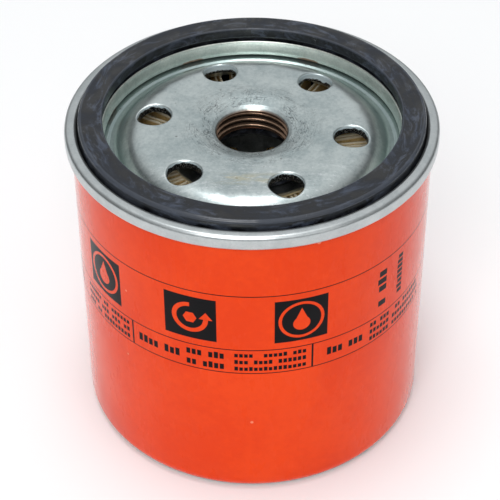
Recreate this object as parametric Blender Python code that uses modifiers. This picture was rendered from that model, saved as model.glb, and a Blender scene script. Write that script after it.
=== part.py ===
"""Spin-on engine fuel/oil filter: a seamed steel can with its filter element, built in metres.

The origin is the centre of the can's bottom and +Z points towards the threaded end. Heights in
this file are heights in the finished assembly. Each turned piece keeps its own origin on the
filter's axis, at the piece's lowest edge. The element (paper, tube, caps, seal) hangs under one
empty on the axis, because it slides along the axis against the support spring.
"""
import math

import bmesh
import bpy
from mathutils import Matrix, Vector

# ---- driving dimensions, in metres -------------------------------------------------------------
TOTAL_H = 0.0725            # can bottom to gasket face
CLEAR = 0.0003              # air between neighbouring pieces
OUTER_STEPS = 48            # sides of the can, lid, plate and gasket
INNER_STEPS = 32            # sides of the turned pieces of the element
CORNER_STEPS = 3            # segments of a rounded corner
BEND_STEPS = 2              # segments of a tight bend in thin sheet
MERGE = 0.0001

CAN_R = 0.0367
CAN_T = 0.0005
CAN_CORNER_R = 0.003
CAN_FLARE_R = 0.03725       # the rim of the can, flared so the lid hooks under it
CAN_FLARE_Z = 0.0689
CAN_NECK_Z = 0.0680
CAN_TOP_Z = 0.0695
FOOT_IN_R = 0.024           # inner edge of the flat ring that the can stands on
PANEL_R = 0.022             # pressed-in panel inside that ring
PANEL_RISE = 0.0015

SEAM_R = 0.038              # rolled seam, the widest part
SEAM_TOP_Z = 0.0709
SEAM_SLOPE_R = 0.0374
SEAM_SLOPE_Z = 0.07065
SEAM_BOTTOM_Z = 0.06755
SEAM_TUCK_R = 0.037
SEAM_CORNER_R = 0.0007
SEAM_SLOPE_NORMAL_DEG = 75.0
LID_T = 0.00045
LIP_TOP_Z = 0.0691          # the lid's inner lip, which carries the gasket
LIP_TOP_R = 0.03085
LIP_FOOT_R = 0.03045
CHANNEL_Z = 0.06595         # floor of the gasket channel
CHANNEL_CORNER_R = 0.00045
CHANNEL_OUT_R = 0.0355

GASKET_IN_R = 0.0303
GASKET_SEAT_R = 0.0313      # the gasket's lower half clears the lip
GASKET_STEP_Z = 0.0702
GASKET_OUT_R = 0.0352
GASKET_CHAMFER = 0.0003

PLATE_R = 0.0358
PLATE_T = 0.002
PLATE_FACE_Z = 0.0690
PLATE_FACE_R = 0.021        # the flat face ends here and rolls down over the shoulder
PLATE_SHOULDER_R = 0.007
PLATE_SLOPE_DEG = 48.0      # steepest slope below the shoulder
PLATE_MOAT_Z = 0.0649       # floor of the moat between shoulder and flange
PLATE_MOAT_IN_R = 0.0285
PLATE_MOAT_OUT_R = 0.0292
PLATE_MOAT_FILLET = 0.0016
PLATE_FLANGE_R = 0.0296
PLATE_FLANGE_Z = 0.0652
INLET_COUNT = 6
INLET_R = 0.0035
INLET_SIDES = 18
INLET_CIRCLE_R = 0.02035
INLET_FIRST_DEG = -11.0
INLET_CUT_DEPTH = 0.012
PLATE_EDGE = 0.0006         # how far the stamping's bends cut their corners
HUB_DIP_R = 0.012
HUB_SLOPE_R = 0.0088
THREAD_MINOR_R = 0.0072     # M16 x 1.5, drawn here as a plain bore at the minor diameter
THREAD_MOUTH_R = 0.0076
THREAD_MOUTH_Z = 0.0678
COLLAR_R = 0.0092
COLLAR_BOTTOM_Z = 0.0626
COLLAR_FILLET = 0.002

PLEATS = 48
PLEAT_OUT_R = 0.033
PLEAT_IN_R = 0.0132
PAPER_T = 0.0004
PLEAT_TIP_HALF = 0.00055    # half of a fold's width at the outer edge, to the paper's middle
MEDIA_BOTTOM_Z = 0.0133
MEDIA_TOP_Z = 0.0622

TUBE_R = 0.0126
TUBE_T = 0.0005
TUBE_HOLE_R = 0.002
TUBE_HOLE_ROWS = 4
TUBE_HOLES_PER_ROW = 8
TUBE_HOLE_SIDES = 8
TUBE_CUT_DEPTH = 0.004

GLUE_T = 0.0005
RING_T = 0.0005
RING_R = 0.017
RING_NECK_R = 0.0118
RING_NECK_BOTTOM_Z = 0.0597
END_CAP_T = 0.00025
END_CAP_BEND = 0.0005
END_CAP_R = 0.0338
END_CAP_RIM_H = 0.0043

SEAL_R = 0.0145
SEAL_NECK_R = 0.011
SEAL_BORE_R = 0.0095
SEAL_TOP_BORE_R = 0.0116
SEAL_BORE_TOP_Z = 0.065

CLIP_T = 0.00035
CLIP_HALF_GAP = 0.00095
CLIP_IN_R = 0.030
CLIP_OUT_R = 0.0336
CLIP_BOTTOM_Z = 0.0165
CLIP_TOP_Z = 0.0618

SPRING_WIRE_R = 0.0007
SPRING_COIL_R = 0.011
SPRING_TURNS = 3.0
SPRING_END_TURNS = 0.9      # turns at each end that lie almost flat
SPRING_END_PITCH = 0.0016
SPRING_POINTS_PER_TURN = 18
SPRING_CUP_R = 0.0132
SPRING_CUP_RIM_H = 0.0025
SPRING_CUP_T = 0.0005

# ---- finishes: colour, roughness, metalness ----------------------------------------------------
ORANGE_PAINT = ((0.87, 0.09, 0.02), 0.25, 0.0)
LID_ZINC = ((0.60, 0.62, 0.60), 0.35, 0.9)
PLATE_ZINC = ((0.55, 0.60, 0.61), 0.38, 0.9)
TINPLATE = ((0.50, 0.52, 0.52), 0.4, 1.0)
CLIP_STEEL = ((0.55, 0.56, 0.56), 0.4, 1.0)
SPRING_STEEL = ((0.45, 0.46, 0.47), 0.35, 1.0)
COMPOUND = ((0.05, 0.05, 0.055), 0.8, 0.0)
GASKET_RUBBER = ((0.035, 0.037, 0.042), 0.45, 0.0)
SEAL_RUBBER = ((0.04, 0.04, 0.045), 0.55, 0.0)
FILTER_PAPER = ((0.62, 0.42, 0.18), 0.9, 0.0)
ADHESIVE = ((0.75, 0.66, 0.45), 0.7, 0.0)

# ---- heights that follow from the ones above ---------------------------------------------------
LOWER_GLUE_Z = MEDIA_BOTTOM_Z - CLEAR - GLUE_T
END_CAP_Z = LOWER_GLUE_Z - CLEAR - END_CAP_BEND
SPRING_CUP_TOP_Z = END_CAP_Z - CLEAR
SPRING_TOP_Z = SPRING_CUP_TOP_Z - SPRING_CUP_T - CLEAR
SPRING_BOTTOM_Z = PANEL_RISE + CAN_T + CLEAR
UPPER_GLUE_Z = MEDIA_TOP_Z + CLEAR
TUBE_TOP_Z = UPPER_GLUE_Z + GLUE_T
RING_Z = TUBE_TOP_Z + CLEAR
SEAL_FLANGE_Z = RING_Z + RING_T + CLEAR
SEAL_TOP_Z = PLATE_FACE_Z - PLATE_T - CLEAR
SEAM_COMPOUND_Z = CAN_TOP_Z + CLEAR
SEAM_COMPOUND_TOP_Z = SEAM_TOP_Z - LID_T - CLEAR
SEAM_COMPOUND_IN_R = 0.0364
SEAM_COMPOUND_OUT_R = 0.03715

# ---- helpers -----------------------------------------------------------------------------------


def clear_scene():
    for obj in list(bpy.data.objects):
        bpy.data.objects.remove(obj, do_unlink=True)


def new_collection(name):
    collection = bpy.data.collections.new(name)
    bpy.context.scene.collection.children.link(collection)
    return collection


def paint(obj, colour, roughness, metallic):
    """Give the object a Principled material of its own, named for it."""
    material = bpy.data.materials.new(obj.name)
    material.use_nodes = True
    shader = material.node_tree.nodes["Principled BSDF"]
    shader.inputs["Base Color"].default_value = (*colour, 1.0)
    shader.inputs["Roughness"].default_value = roughness
    shader.inputs["Metallic"].default_value = metallic
    material.diffuse_color = (*colour, 1.0)
    obj.data.materials.append(material)


def arc(centre_r, centre_z, radius, start_deg, end_deg, steps):
    """Points of an arc in the radius-height plane, both ends included."""
    points = []
    for i in range(steps + 1):
        angle = math.radians(start_deg + (end_deg - start_deg) * i / steps)
        points.append((centre_r + radius * math.cos(angle), centre_z + radius * math.sin(angle)))
    return points


def turned(name, profile, steps, closed=True, wall=0.0):
    """Turn a (radius, height) profile about the filter's axis.

    A closed profile runs down its outer side. An open one is a sheet's outer side, and the
    sheet's thickness goes on behind it.
    """
    base = min(z for _, z in profile)
    verts = [(r, 0.0, z - base) for r, z in profile]
    edges = [(i, i + 1) for i in range(len(profile) - 1)]
    if closed:
        edges.append((len(profile) - 1, 0))
    mesh = bpy.data.meshes.new(name)
    mesh.from_pydata(verts, edges, [])
    obj = bpy.data.objects.new(name, mesh)
    obj.location = (0.0, 0.0, base)
    parts.objects.link(obj)
    screw = obj.modifiers.new("Turn", "SCREW")
    screw.axis = "Z"
    screw.angle = math.tau
    screw.steps = steps
    screw.render_steps = steps
    screw.use_merge_vertices = True
    screw.merge_threshold = MERGE
    screw.use_smooth_shade = True
    if wall:
        solidify = obj.modifiers.new("Wall", "SOLIDIFY")
        solidify.thickness = wall
        solidify.offset = -1.0
        solidify.use_even_offset = True
    return obj


def turned_ring(name, in_r, out_r, low_z, high_z, steps):
    """A plain ring of square section."""
    profile = [(out_r, high_z), (out_r, low_z), (in_r, low_z), (in_r, high_z)]
    return turned(name, profile, steps)


def extruded(name, loops, low_z, high_z):
    """A flat outline, one or more closed loops, extruded between two heights."""
    curve = bpy.data.curves.new(name, "CURVE")
    curve.dimensions = "2D"
    curve.fill_mode = "BOTH"
    curve.extrude = (high_z - low_z) / 2.0
    for loop in loops:
        spline = curve.splines.new("POLY")
        spline.points.add(len(loop) - 1)
        for point, (x, y) in zip(spline.points, loop):
            point.co = (x, y, 0.0, 1.0)
        spline.use_cyclic_u = True
    obj = bpy.data.objects.new(name, curve)
    obj.location = (0.0, 0.0, (high_z + low_z) / 2.0)
    parts.objects.link(obj)
    return obj


def cylinder_cutter(name, placements, radius, depth, sides):
    """Cylinders that don't touch each other, in one cutter. Placements are matrices."""
    mesh = bpy.data.meshes.new(name)
    cutter_bm = bmesh.new()
    for matrix in placements:
        bmesh.ops.create_cone(cutter_bm, cap_ends=True, segments=sides, radius1=radius,
                              radius2=radius, depth=depth, matrix=matrix)
    cutter_bm.to_mesh(mesh)
    cutter_bm.free()
    obj = bpy.data.objects.new(name, mesh)
    obj.display_type = "WIRE"
    obj.hide_render = True
    cutters.objects.link(obj)
    return obj


def cut(obj, cutter):
    boolean = obj.modifiers.new("Cut", "BOOLEAN")
    boolean.operation = "DIFFERENCE"
    boolean.solver = "EXACT"
    boolean.object = cutter


# ---- housing -----------------------------------------------------------------------------------


def make_can_shell():
    """Drawn steel can: flared rim, straight wall, rounded corner, foot ring and pressed panel."""
    profile = [(CAN_FLARE_R, CAN_TOP_Z), (CAN_FLARE_R, CAN_FLARE_Z), (CAN_R, CAN_NECK_Z)]
    profile += arc(CAN_R - CAN_CORNER_R, CAN_CORNER_R, CAN_CORNER_R, 0.0, -90.0, CORNER_STEPS)
    profile += [(FOOT_IN_R, 0.0), (PANEL_R, PANEL_RISE), (0.0, PANEL_RISE)]
    can = turned("can_shell", profile, OUTER_STEPS, closed=False, wall=CAN_T)
    paint(can, *ORANGE_PAINT)
    return can


def make_seaming_lid():
    """Thin zinc-plated ring: inner lip, gasket channel, chuck wall and the rim rolled over."""
    corner = CHANNEL_CORNER_R
    roll = SEAM_CORNER_R
    profile = [(LIP_TOP_R, LIP_TOP_Z)]
    profile += arc(LIP_FOOT_R + corner, CHANNEL_Z + corner, corner, 180.0, 270.0, BEND_STEPS)
    profile += arc(CHANNEL_OUT_R - corner, CHANNEL_Z + corner, corner, 270.0, 360.0, BEND_STEPS)
    profile += arc(CHANNEL_OUT_R + roll, SEAM_TOP_Z - roll, roll, 180.0, 90.0, BEND_STEPS)
    profile += arc(SEAM_R - roll, SEAM_SLOPE_Z - roll, roll, SEAM_SLOPE_NORMAL_DEG, 0.0, BEND_STEPS)
    profile += arc(SEAM_R - roll, SEAM_BOTTOM_Z + roll, roll, 0.0, -90.0, BEND_STEPS)
    profile += [(SEAM_TUCK_R, SEAM_BOTTOM_Z)]
    lid = turned("seaming_lid", profile, OUTER_STEPS, closed=False, wall=LID_T)
    paint(lid, *LID_ZINC)
    return lid


def make_seam_compound():
    """Sealing compound in the top of the rolled seam."""
    ring = turned_ring("seam_compound", SEAM_COMPOUND_IN_R, SEAM_COMPOUND_OUT_R,
                       SEAM_COMPOUND_Z, SEAM_COMPOUND_TOP_Z, OUTER_STEPS)
    paint(ring, *COMPOUND)
    return ring


def make_base_plate():
    """Stamped plate: flange, moat, wide shoulder, face with six inlets and drawn thread collar."""
    under_z = PLATE_FACE_Z - PLATE_T
    flange_under_z = PLATE_FLANGE_Z - PLATE_T
    moat_under_z = PLATE_MOAT_Z - PLATE_T
    shoulder_z = PLATE_FACE_Z - PLATE_SHOULDER_R
    fillet_z = PLATE_MOAT_Z + PLATE_MOAT_FILLET
    slope_side = 90.0 - PLATE_SLOPE_DEG
    moat_side = 180.0 + slope_side
    edge = PLATE_EDGE
    profile = [
        (PLATE_R, PLATE_FLANGE_Z),
        (PLATE_R, flange_under_z),
        (PLATE_FLANGE_R, flange_under_z),
        (PLATE_MOAT_OUT_R, moat_under_z),
    ]
    profile += arc(PLATE_MOAT_IN_R, fillet_z, PLATE_MOAT_FILLET + PLATE_T, 270.0, moat_side, BEND_STEPS)
    profile += arc(PLATE_FACE_R, shoulder_z, PLATE_SHOULDER_R - PLATE_T, slope_side, 90.0, CORNER_STEPS)
    profile += arc(COLLAR_R + COLLAR_FILLET, under_z - COLLAR_FILLET, COLLAR_FILLET,
                   90.0, 180.0, CORNER_STEPS)
    profile += [
        (COLLAR_R, COLLAR_BOTTOM_Z),
        (THREAD_MINOR_R, COLLAR_BOTTOM_Z),
        (THREAD_MINOR_R, THREAD_MOUTH_Z - edge),
        (THREAD_MOUTH_R, THREAD_MOUTH_Z),
        (HUB_SLOPE_R, PLATE_FACE_Z - edge),
        (HUB_DIP_R, PLATE_FACE_Z),
    ]
    profile += arc(PLATE_FACE_R, shoulder_z, PLATE_SHOULDER_R, 90.0, slope_side, CORNER_STEPS)
    profile += arc(PLATE_MOAT_IN_R, fillet_z, PLATE_MOAT_FILLET, moat_side, 270.0, BEND_STEPS)
    profile += [(PLATE_MOAT_OUT_R, PLATE_MOAT_Z), (PLATE_FLANGE_R, PLATE_FLANGE_Z)]
    plate = turned("base_plate", profile, OUTER_STEPS)
    paint(plate, *PLATE_ZINC)

    placements = []
    for i in range(INLET_COUNT):
        angle = math.radians(INLET_FIRST_DEG + 360.0 * i / INLET_COUNT)
        centre = (INLET_CIRCLE_R * math.cos(angle), INLET_CIRCLE_R * math.sin(angle), under_z)
        placements.append(Matrix.Translation(Vector(centre)))
    cut(plate, cylinder_cutter("inlet_cutter", placements, INLET_R, INLET_CUT_DEPTH, INLET_SIDES))
    return plate


def make_sealing_gasket():
    """Rubber ring, stepped inside so that its lower half sits in the channel behind the lip."""
    low_z = CHANNEL_Z + CLEAR
    bevel = GASKET_CHAMFER
    profile = [
        (GASKET_OUT_R - bevel, TOTAL_H),
        (GASKET_OUT_R, TOTAL_H - bevel),
        (GASKET_OUT_R, low_z + bevel),
        (GASKET_OUT_R - bevel, low_z),
        (GASKET_SEAT_R + bevel, low_z),
        (GASKET_SEAT_R, low_z + bevel),
        (GASKET_SEAT_R, GASKET_STEP_Z),
        (GASKET_IN_R, GASKET_STEP_Z),
        (GASKET_IN_R, TOTAL_H - bevel),
        (GASKET_IN_R + bevel, TOTAL_H),
    ]
    gasket = turned("sealing_gasket", profile, OUTER_STEPS)
    paint(gasket, *GASKET_RUBBER)
    return gasket


def make_support_spring():
    """Coil spring with nearly flat end turns, standing on the can's panel."""
    length = SPRING_TOP_Z - SPRING_BOTTOM_Z - 2.0 * SPRING_WIRE_R
    middle_turns = SPRING_TURNS - 2.0 * SPRING_END_TURNS
    middle_pitch = (length - 2.0 * SPRING_END_TURNS * SPRING_END_PITCH) / middle_turns
    curve = bpy.data.curves.new("support_spring", "CURVE")
    curve.dimensions = "3D"
    curve.bevel_depth = SPRING_WIRE_R
    curve.bevel_resolution = 2
    curve.use_fill_caps = True
    count = int(SPRING_TURNS * SPRING_POINTS_PER_TURN) + 1
    spline = curve.splines.new("POLY")
    spline.points.add(count - 1)
    for i, point in enumerate(spline.points):
        turn = i / SPRING_POINTS_PER_TURN
        low_end = min(turn, SPRING_END_TURNS)
        high_end = max(0.0, turn - SPRING_TURNS + SPRING_END_TURNS)
        middle = turn - low_end - high_end
        height = (low_end + high_end) * SPRING_END_PITCH + middle * middle_pitch
        angle = math.tau * turn
        point.co = (SPRING_COIL_R * math.cos(angle), SPRING_COIL_R * math.sin(angle), height, 1.0)
    spring = bpy.data.objects.new("support_spring", curve)
    spring.location = (0.0, 0.0, SPRING_BOTTOM_Z + SPRING_WIRE_R)
    parts.objects.link(spring)
    paint(spring, *SPRING_STEEL)
    return spring


# ---- element -----------------------------------------------------------------------------------


def pleat_loops():
    """The outer and inner outline of one sheet of paper folded into a ring of pleats."""
    step = math.tau / PLEATS
    quarter = step / 4.0
    half_t = PAPER_T / 2.0
    outer = []
    inner = []
    for i in range(PLEATS):
        middle = i * step
        tip_out = (PLEAT_TIP_HALF + half_t) / PLEAT_OUT_R
        tip_in = (PLEAT_TIP_HALF - half_t) / (PLEAT_OUT_R - PAPER_T)
        root_out = quarter + half_t / (PLEAT_IN_R + PAPER_T)
        root_in = quarter - half_t / PLEAT_IN_R
        outer_r = PLEAT_IN_R + PAPER_T
        for radius, angle in ((outer_r, middle - root_out), (PLEAT_OUT_R, middle - tip_out),
                              (PLEAT_OUT_R, middle + tip_out), (outer_r, middle + root_out)):
            outer.append((radius * math.cos(angle), radius * math.sin(angle)))
        inner_r = PLEAT_OUT_R - PAPER_T
        for radius, angle in ((PLEAT_IN_R, middle - root_in), (inner_r, middle - tip_in),
                              (inner_r, middle + tip_in), (PLEAT_IN_R, middle + root_in)):
            inner.append((radius * math.cos(angle), radius * math.sin(angle)))
    return [outer, inner]


def make_pleated_media():
    media = extruded("pleated_media", pleat_loops(), MEDIA_BOTTOM_Z, MEDIA_TOP_Z)
    paint(media, *FILTER_PAPER)
    return media


def make_media_seam_clip():
    """U-shaped steel strip that crimps the paper's two ends together over one outer fold."""
    gap = CLIP_HALF_GAP
    side = gap + CLIP_T
    outline = [(CLIP_IN_R, -side), (CLIP_OUT_R, -side), (CLIP_OUT_R, side), (CLIP_IN_R, side),
               (CLIP_IN_R, gap), (CLIP_OUT_R - CLIP_T / 2.0, gap - CLIP_T / 2.0),
               (CLIP_OUT_R - CLIP_T / 2.0, CLIP_T / 2.0 - gap), (CLIP_IN_R, -gap)]
    clip = extruded("media_seam_clip", [outline], CLIP_BOTTOM_Z, CLIP_TOP_Z)
    paint(clip, *CLIP_STEEL)
    return clip


def make_center_tube():
    """Perforated steel tube that keeps the pleats from collapsing inwards."""
    tube = turned_ring("center_tube", TUBE_R - TUBE_T, TUBE_R, MEDIA_BOTTOM_Z, TUBE_TOP_Z,
                       INNER_STEPS)
    paint(tube, *TINPLATE)
    row_pitch = (TUBE_TOP_Z - MEDIA_BOTTOM_Z) / (TUBE_HOLE_ROWS + 1)
    placements = []
    for row in range(TUBE_HOLE_ROWS):
        height = MEDIA_BOTTOM_Z + row_pitch * (row + 1)
        for i in range(TUBE_HOLES_PER_ROW):
            angle = math.tau * (i + 0.5 * (row % 2)) / TUBE_HOLES_PER_ROW
            turn = Matrix.Rotation(angle, 4, "Z")
            out = Matrix.Translation(Vector((TUBE_R, 0.0, height)))
            lay_flat = Matrix.Rotation(math.pi / 2.0, 4, "Y")
            placements.append(turn @ out @ lay_flat)
    cut(tube, cylinder_cutter("tube_hole_cutter", placements, TUBE_HOLE_R,
                              TUBE_CUT_DEPTH, TUBE_HOLE_SIDES))
    return tube


def make_upper_adhesive_ring():
    """Adhesive that closes the pleats' inner ends under the upper end ring."""
    ring = turned_ring("upper_adhesive_ring", PLEAT_IN_R, RING_R - CLEAR, UPPER_GLUE_Z,
                       UPPER_GLUE_Z + GLUE_T, INNER_STEPS)
    paint(ring, *ADHESIVE)
    return ring


def make_upper_end_ring():
    """Pressed ring: a flange over the pleats and a neck inside the tube."""
    neck_in_r = RING_NECK_R - RING_T
    profile = [(RING_R, RING_Z + RING_T), (RING_R, RING_Z), (RING_NECK_R, RING_Z),
               (RING_NECK_R, RING_NECK_BOTTOM_Z), (neck_in_r, RING_NECK_BOTTOM_Z),
               (neck_in_r, RING_Z + RING_T)]
    ring = turned("upper_end_ring", profile, INNER_STEPS)
    paint(ring, *TINPLATE)
    return ring


def make_hub_seal():
    """Rubber grommet between the plate's collar and the element's end ring."""
    profile = [(SEAL_R, SEAL_TOP_Z), (SEAL_R, SEAL_FLANGE_Z), (SEAL_NECK_R, SEAL_FLANGE_Z),
               (SEAL_NECK_R, RING_NECK_BOTTOM_Z), (SEAL_BORE_R, RING_NECK_BOTTOM_Z),
               (SEAL_BORE_R, SEAL_BORE_TOP_Z), (SEAL_TOP_BORE_R, SEAL_TOP_Z)]
    seal = turned("hub_seal", profile, INNER_STEPS)
    paint(seal, *SEAL_RUBBER)
    return seal


def make_lower_adhesive_disc():
    """Adhesive that closes the pleats' lower ends in the end cap."""
    ring = turned_ring("lower_adhesive_disc", TUBE_R - TUBE_T, PLEAT_OUT_R, LOWER_GLUE_Z,
                       LOWER_GLUE_Z + GLUE_T, INNER_STEPS)
    paint(ring, *ADHESIVE)
    return ring


def make_lower_end_cap():
    """Closed steel dish under the paper: the element's only way out is its top."""
    bend = END_CAP_BEND
    profile = [(END_CAP_R, END_CAP_Z + END_CAP_RIM_H), (END_CAP_R, END_CAP_Z + bend),
               (END_CAP_R - bend / 2.0, END_CAP_Z), (0.0, END_CAP_Z)]
    cap = turned("lower_end_cap", profile, INNER_STEPS, closed=False, wall=END_CAP_T)
    paint(cap, *TINPLATE)
    return cap


def make_spring_cup():
    """Shallow cup that centres the spring under the end cap."""
    bend = SPRING_CUP_T
    profile = [(0.0, SPRING_CUP_TOP_Z), (SPRING_CUP_R - bend, SPRING_CUP_TOP_Z),
               (SPRING_CUP_R, SPRING_CUP_TOP_Z - bend),
               (SPRING_CUP_R, SPRING_CUP_TOP_Z - SPRING_CUP_RIM_H)]
    cup = turned("spring_cup", profile, INNER_STEPS, closed=False, wall=SPRING_CUP_T)
    paint(cup, *TINPLATE)
    return cup


# ---- assembly ----------------------------------------------------------------------------------
clear_scene()
parts = new_collection("spin_on_filter")
cutters = new_collection("cutters")

make_can_shell()
make_seaming_lid()
make_seam_compound()
make_base_plate()
make_sealing_gasket()
make_support_spring()

element = bpy.data.objects.new("element_slide", None)
element.location = (0.0, 0.0, SPRING_TOP_Z)
element.empty_display_size = SPRING_COIL_R
parts.objects.link(element)
bpy.context.view_layer.update()
for piece in (
    make_pleated_media(),
    make_media_seam_clip(),
    make_center_tube(),
    make_upper_adhesive_ring(),
    make_upper_end_ring(),
    make_hub_seal(),
    make_lower_adhesive_disc(),
    make_lower_end_cap(),
    make_spring_cup(),
):
    piece.parent = element
    piece.matrix_parent_inverse = element.matrix_world.inverted()
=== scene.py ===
# %% [markdown]
# # A spin-on filter, finished around its fixed frame
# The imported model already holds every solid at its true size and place. This script loads it as a
# frame that never moves, makes a fine surface for each turned, stamped, moulded or folded piece,
# and gives every piece a finish worked out by shader nodes: paint with its print, zinc plate,
# rubber, oiled thread, resin-treated paper, tinplate.

# %% Load the frame and measure it
import math

import bmesh
import bpy
import numpy as np
from mathutils import Matrix, Vector


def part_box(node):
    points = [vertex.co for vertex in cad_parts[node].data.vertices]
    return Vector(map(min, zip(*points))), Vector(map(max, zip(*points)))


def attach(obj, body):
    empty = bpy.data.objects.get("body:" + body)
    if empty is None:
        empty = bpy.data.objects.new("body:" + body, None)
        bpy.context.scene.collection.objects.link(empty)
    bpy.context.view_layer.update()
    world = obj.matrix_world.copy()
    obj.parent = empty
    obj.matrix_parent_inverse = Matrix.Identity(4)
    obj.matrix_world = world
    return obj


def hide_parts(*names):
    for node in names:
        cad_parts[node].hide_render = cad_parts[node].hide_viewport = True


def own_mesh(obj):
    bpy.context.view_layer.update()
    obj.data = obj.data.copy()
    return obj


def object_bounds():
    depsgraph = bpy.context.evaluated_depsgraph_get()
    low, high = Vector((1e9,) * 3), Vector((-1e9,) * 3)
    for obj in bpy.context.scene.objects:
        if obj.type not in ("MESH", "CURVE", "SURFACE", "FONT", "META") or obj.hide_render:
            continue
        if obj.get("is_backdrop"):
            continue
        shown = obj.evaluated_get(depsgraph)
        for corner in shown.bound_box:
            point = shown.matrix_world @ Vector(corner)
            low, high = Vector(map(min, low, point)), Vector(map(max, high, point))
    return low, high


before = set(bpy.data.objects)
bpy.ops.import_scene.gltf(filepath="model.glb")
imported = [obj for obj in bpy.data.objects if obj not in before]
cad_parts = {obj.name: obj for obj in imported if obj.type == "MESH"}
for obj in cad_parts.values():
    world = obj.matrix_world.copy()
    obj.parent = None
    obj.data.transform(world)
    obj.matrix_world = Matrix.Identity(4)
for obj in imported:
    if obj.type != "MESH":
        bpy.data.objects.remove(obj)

cad_low, cad_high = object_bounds()
MM = 0.001
TOTAL_H = cad_high.z
SEAM_R = cad_high.x
PLATE_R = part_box("base_plate")[1].x
GASKET_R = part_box("sealing_gasket")[1].x
print(f"whole filter {SEAM_R * 2000:.1f} mm across the seam, {TOTAL_H * 1000:.1f} mm high")

# %% [markdown]
# ## Camera
# The filter is seen from the front and 40 degrees above, from just over a third of a metre, so the
# can tapers visibly towards its foot. The camera hangs a fraction of a degree out of level. It is
# placed by its aim point, its distance and its elevation, which is easier to adjust than a matrix.

# %% Set the camera
AIM = Vector((-0.54 * MM, 0.0, TOTAL_H - 36.8 * MM))
DISTANCE = 367.7 * MM
ELEVATION = math.radians(40.35)
ROLL = math.radians(-0.327)
LENS_MM = 122.79


def place_camera():
    """Look at AIM from DISTANCE at ELEVATION; the picture's x axis is turned by ROLL."""
    back = Vector((0.0, -math.cos(ELEVATION), math.sin(ELEVATION)))
    right = Vector((1.0, 0.0, 0.0))
    up = back.cross(right)
    camera_x = right * math.cos(ROLL) + up * math.sin(ROLL)
    camera_y = up * math.cos(ROLL) - right * math.sin(ROLL)
    data = bpy.data.cameras.new("camera")
    data.lens = LENS_MM
    data.sensor_width = 36.0
    data.clip_start = 0.01
    camera = bpy.data.objects.new("camera", data)
    turn = Matrix((camera_x, camera_y, back)).transposed().to_4x4()
    camera.matrix_world = Matrix.Translation(AIM + back * DISTANCE) @ turn
    bpy.context.scene.collection.objects.link(camera)
    bpy.context.scene.camera = camera
    print(f"camera {DISTANCE * 1000:.0f} mm away, lens {LENS_MM:.1f} mm")


place_camera()

# %% [markdown]
# ## Studio
# A white sweep and soft lights. The can is glossy and its wall is upright, so what it mirrors
# towards a camera above it is the floor: a bright floor gives the pale sheen at both edges of the
# can. The zinc face looks up, so it mirrors the room behind the filter, and the room is dark near
# the horizon, which shades the plate's shoulder. The ceiling light is small: it gives the crisp
# highlights in the dip round the thread and on the rolled rim. The front light fills the can.

# %% Build the floor and the lights
FLOOR_HALF = 2.0
SKY_LOW = 0.12
SKY_HIGH = 0.80
SKY_LOW_Z = 0.02
SKY_HIGH_Z = 0.50
SKY_SIDE = 0.3
SKY_SIDE_FROM = 0.35
SKY_SIDE_TO = 0.9
SKY_TINT = (0.95, 0.98, 1.0, 1.0)
PAPER_WHITE = (0.93, 0.93, 0.93, 1.0)
SOFT_BOXES = (                              # name, place, side of the square, power in watts
    ("ceiling", (-0.06, 0.0, 0.98), 0.36, 2.6),
    ("front", (-0.10, -0.66, 0.72), 0.45, 3.7),
    ("left", (-0.45, -0.70, 0.45), 0.40, 0.2),
    ("right", (0.55, -0.65, 0.45), 0.40, 0.3),
)


def soft_box(name, place, size, power):
    """A square light of the given side that faces the middle of the filter."""
    data = bpy.data.lights.new(name, "AREA")
    data.size = size
    data.energy = power
    light = bpy.data.objects.new(name, data)
    light.location = place
    aim = Vector((0.0, 0.0, TOTAL_H / 2.0)) - Vector(place)
    light.rotation_euler = aim.to_track_quat("-Z", "Y").to_euler()
    bpy.context.scene.collection.objects.link(light)
    return light


def studio_sky():
    """Soft light from all of the upper room: bright above, darker near the horizon and at both
    sides, where the room behind the sweep is not lit."""
    world = bpy.data.worlds.new("studio")
    world.use_nodes = True
    tree = world.node_tree
    place = tree.nodes.new("ShaderNodeTexCoord")
    split = tree.nodes.new("ShaderNodeSeparateXYZ")
    tree.links.new(place.outputs["Generated"], split.inputs[0])
    height = tree.nodes.new("ShaderNodeMapRange")
    height.interpolation_type = "SMOOTHSTEP"
    tree.links.new(split.outputs["Z"], height.inputs["Value"])
    side = tree.nodes.new("ShaderNodeMath")
    side.operation = "ABSOLUTE"
    tree.links.new(split.outputs["X"], side.inputs[0])
    flags = tree.nodes.new("ShaderNodeMapRange")
    flags.interpolation_type = "SMOOTHSTEP"
    tree.links.new(side.outputs[0], flags.inputs["Value"])
    for node, values in ((height, (SKY_LOW_Z, SKY_HIGH_Z, SKY_LOW, SKY_HIGH)),
                         (flags, (SKY_SIDE_FROM, SKY_SIDE_TO, 1.0, SKY_SIDE))):
        for name, value in zip(("From Min", "From Max", "To Min", "To Max"), values):
            node.inputs[name].default_value = value
    both = tree.nodes.new("ShaderNodeMath")
    both.operation = "MULTIPLY"
    tree.links.new(height.outputs[0], both.inputs[0])
    tree.links.new(flags.outputs[0], both.inputs[1])
    background = tree.nodes["Background"]
    background.inputs["Color"].default_value = SKY_TINT
    tree.links.new(both.outputs[0], background.inputs["Strength"])
    return world


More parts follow.
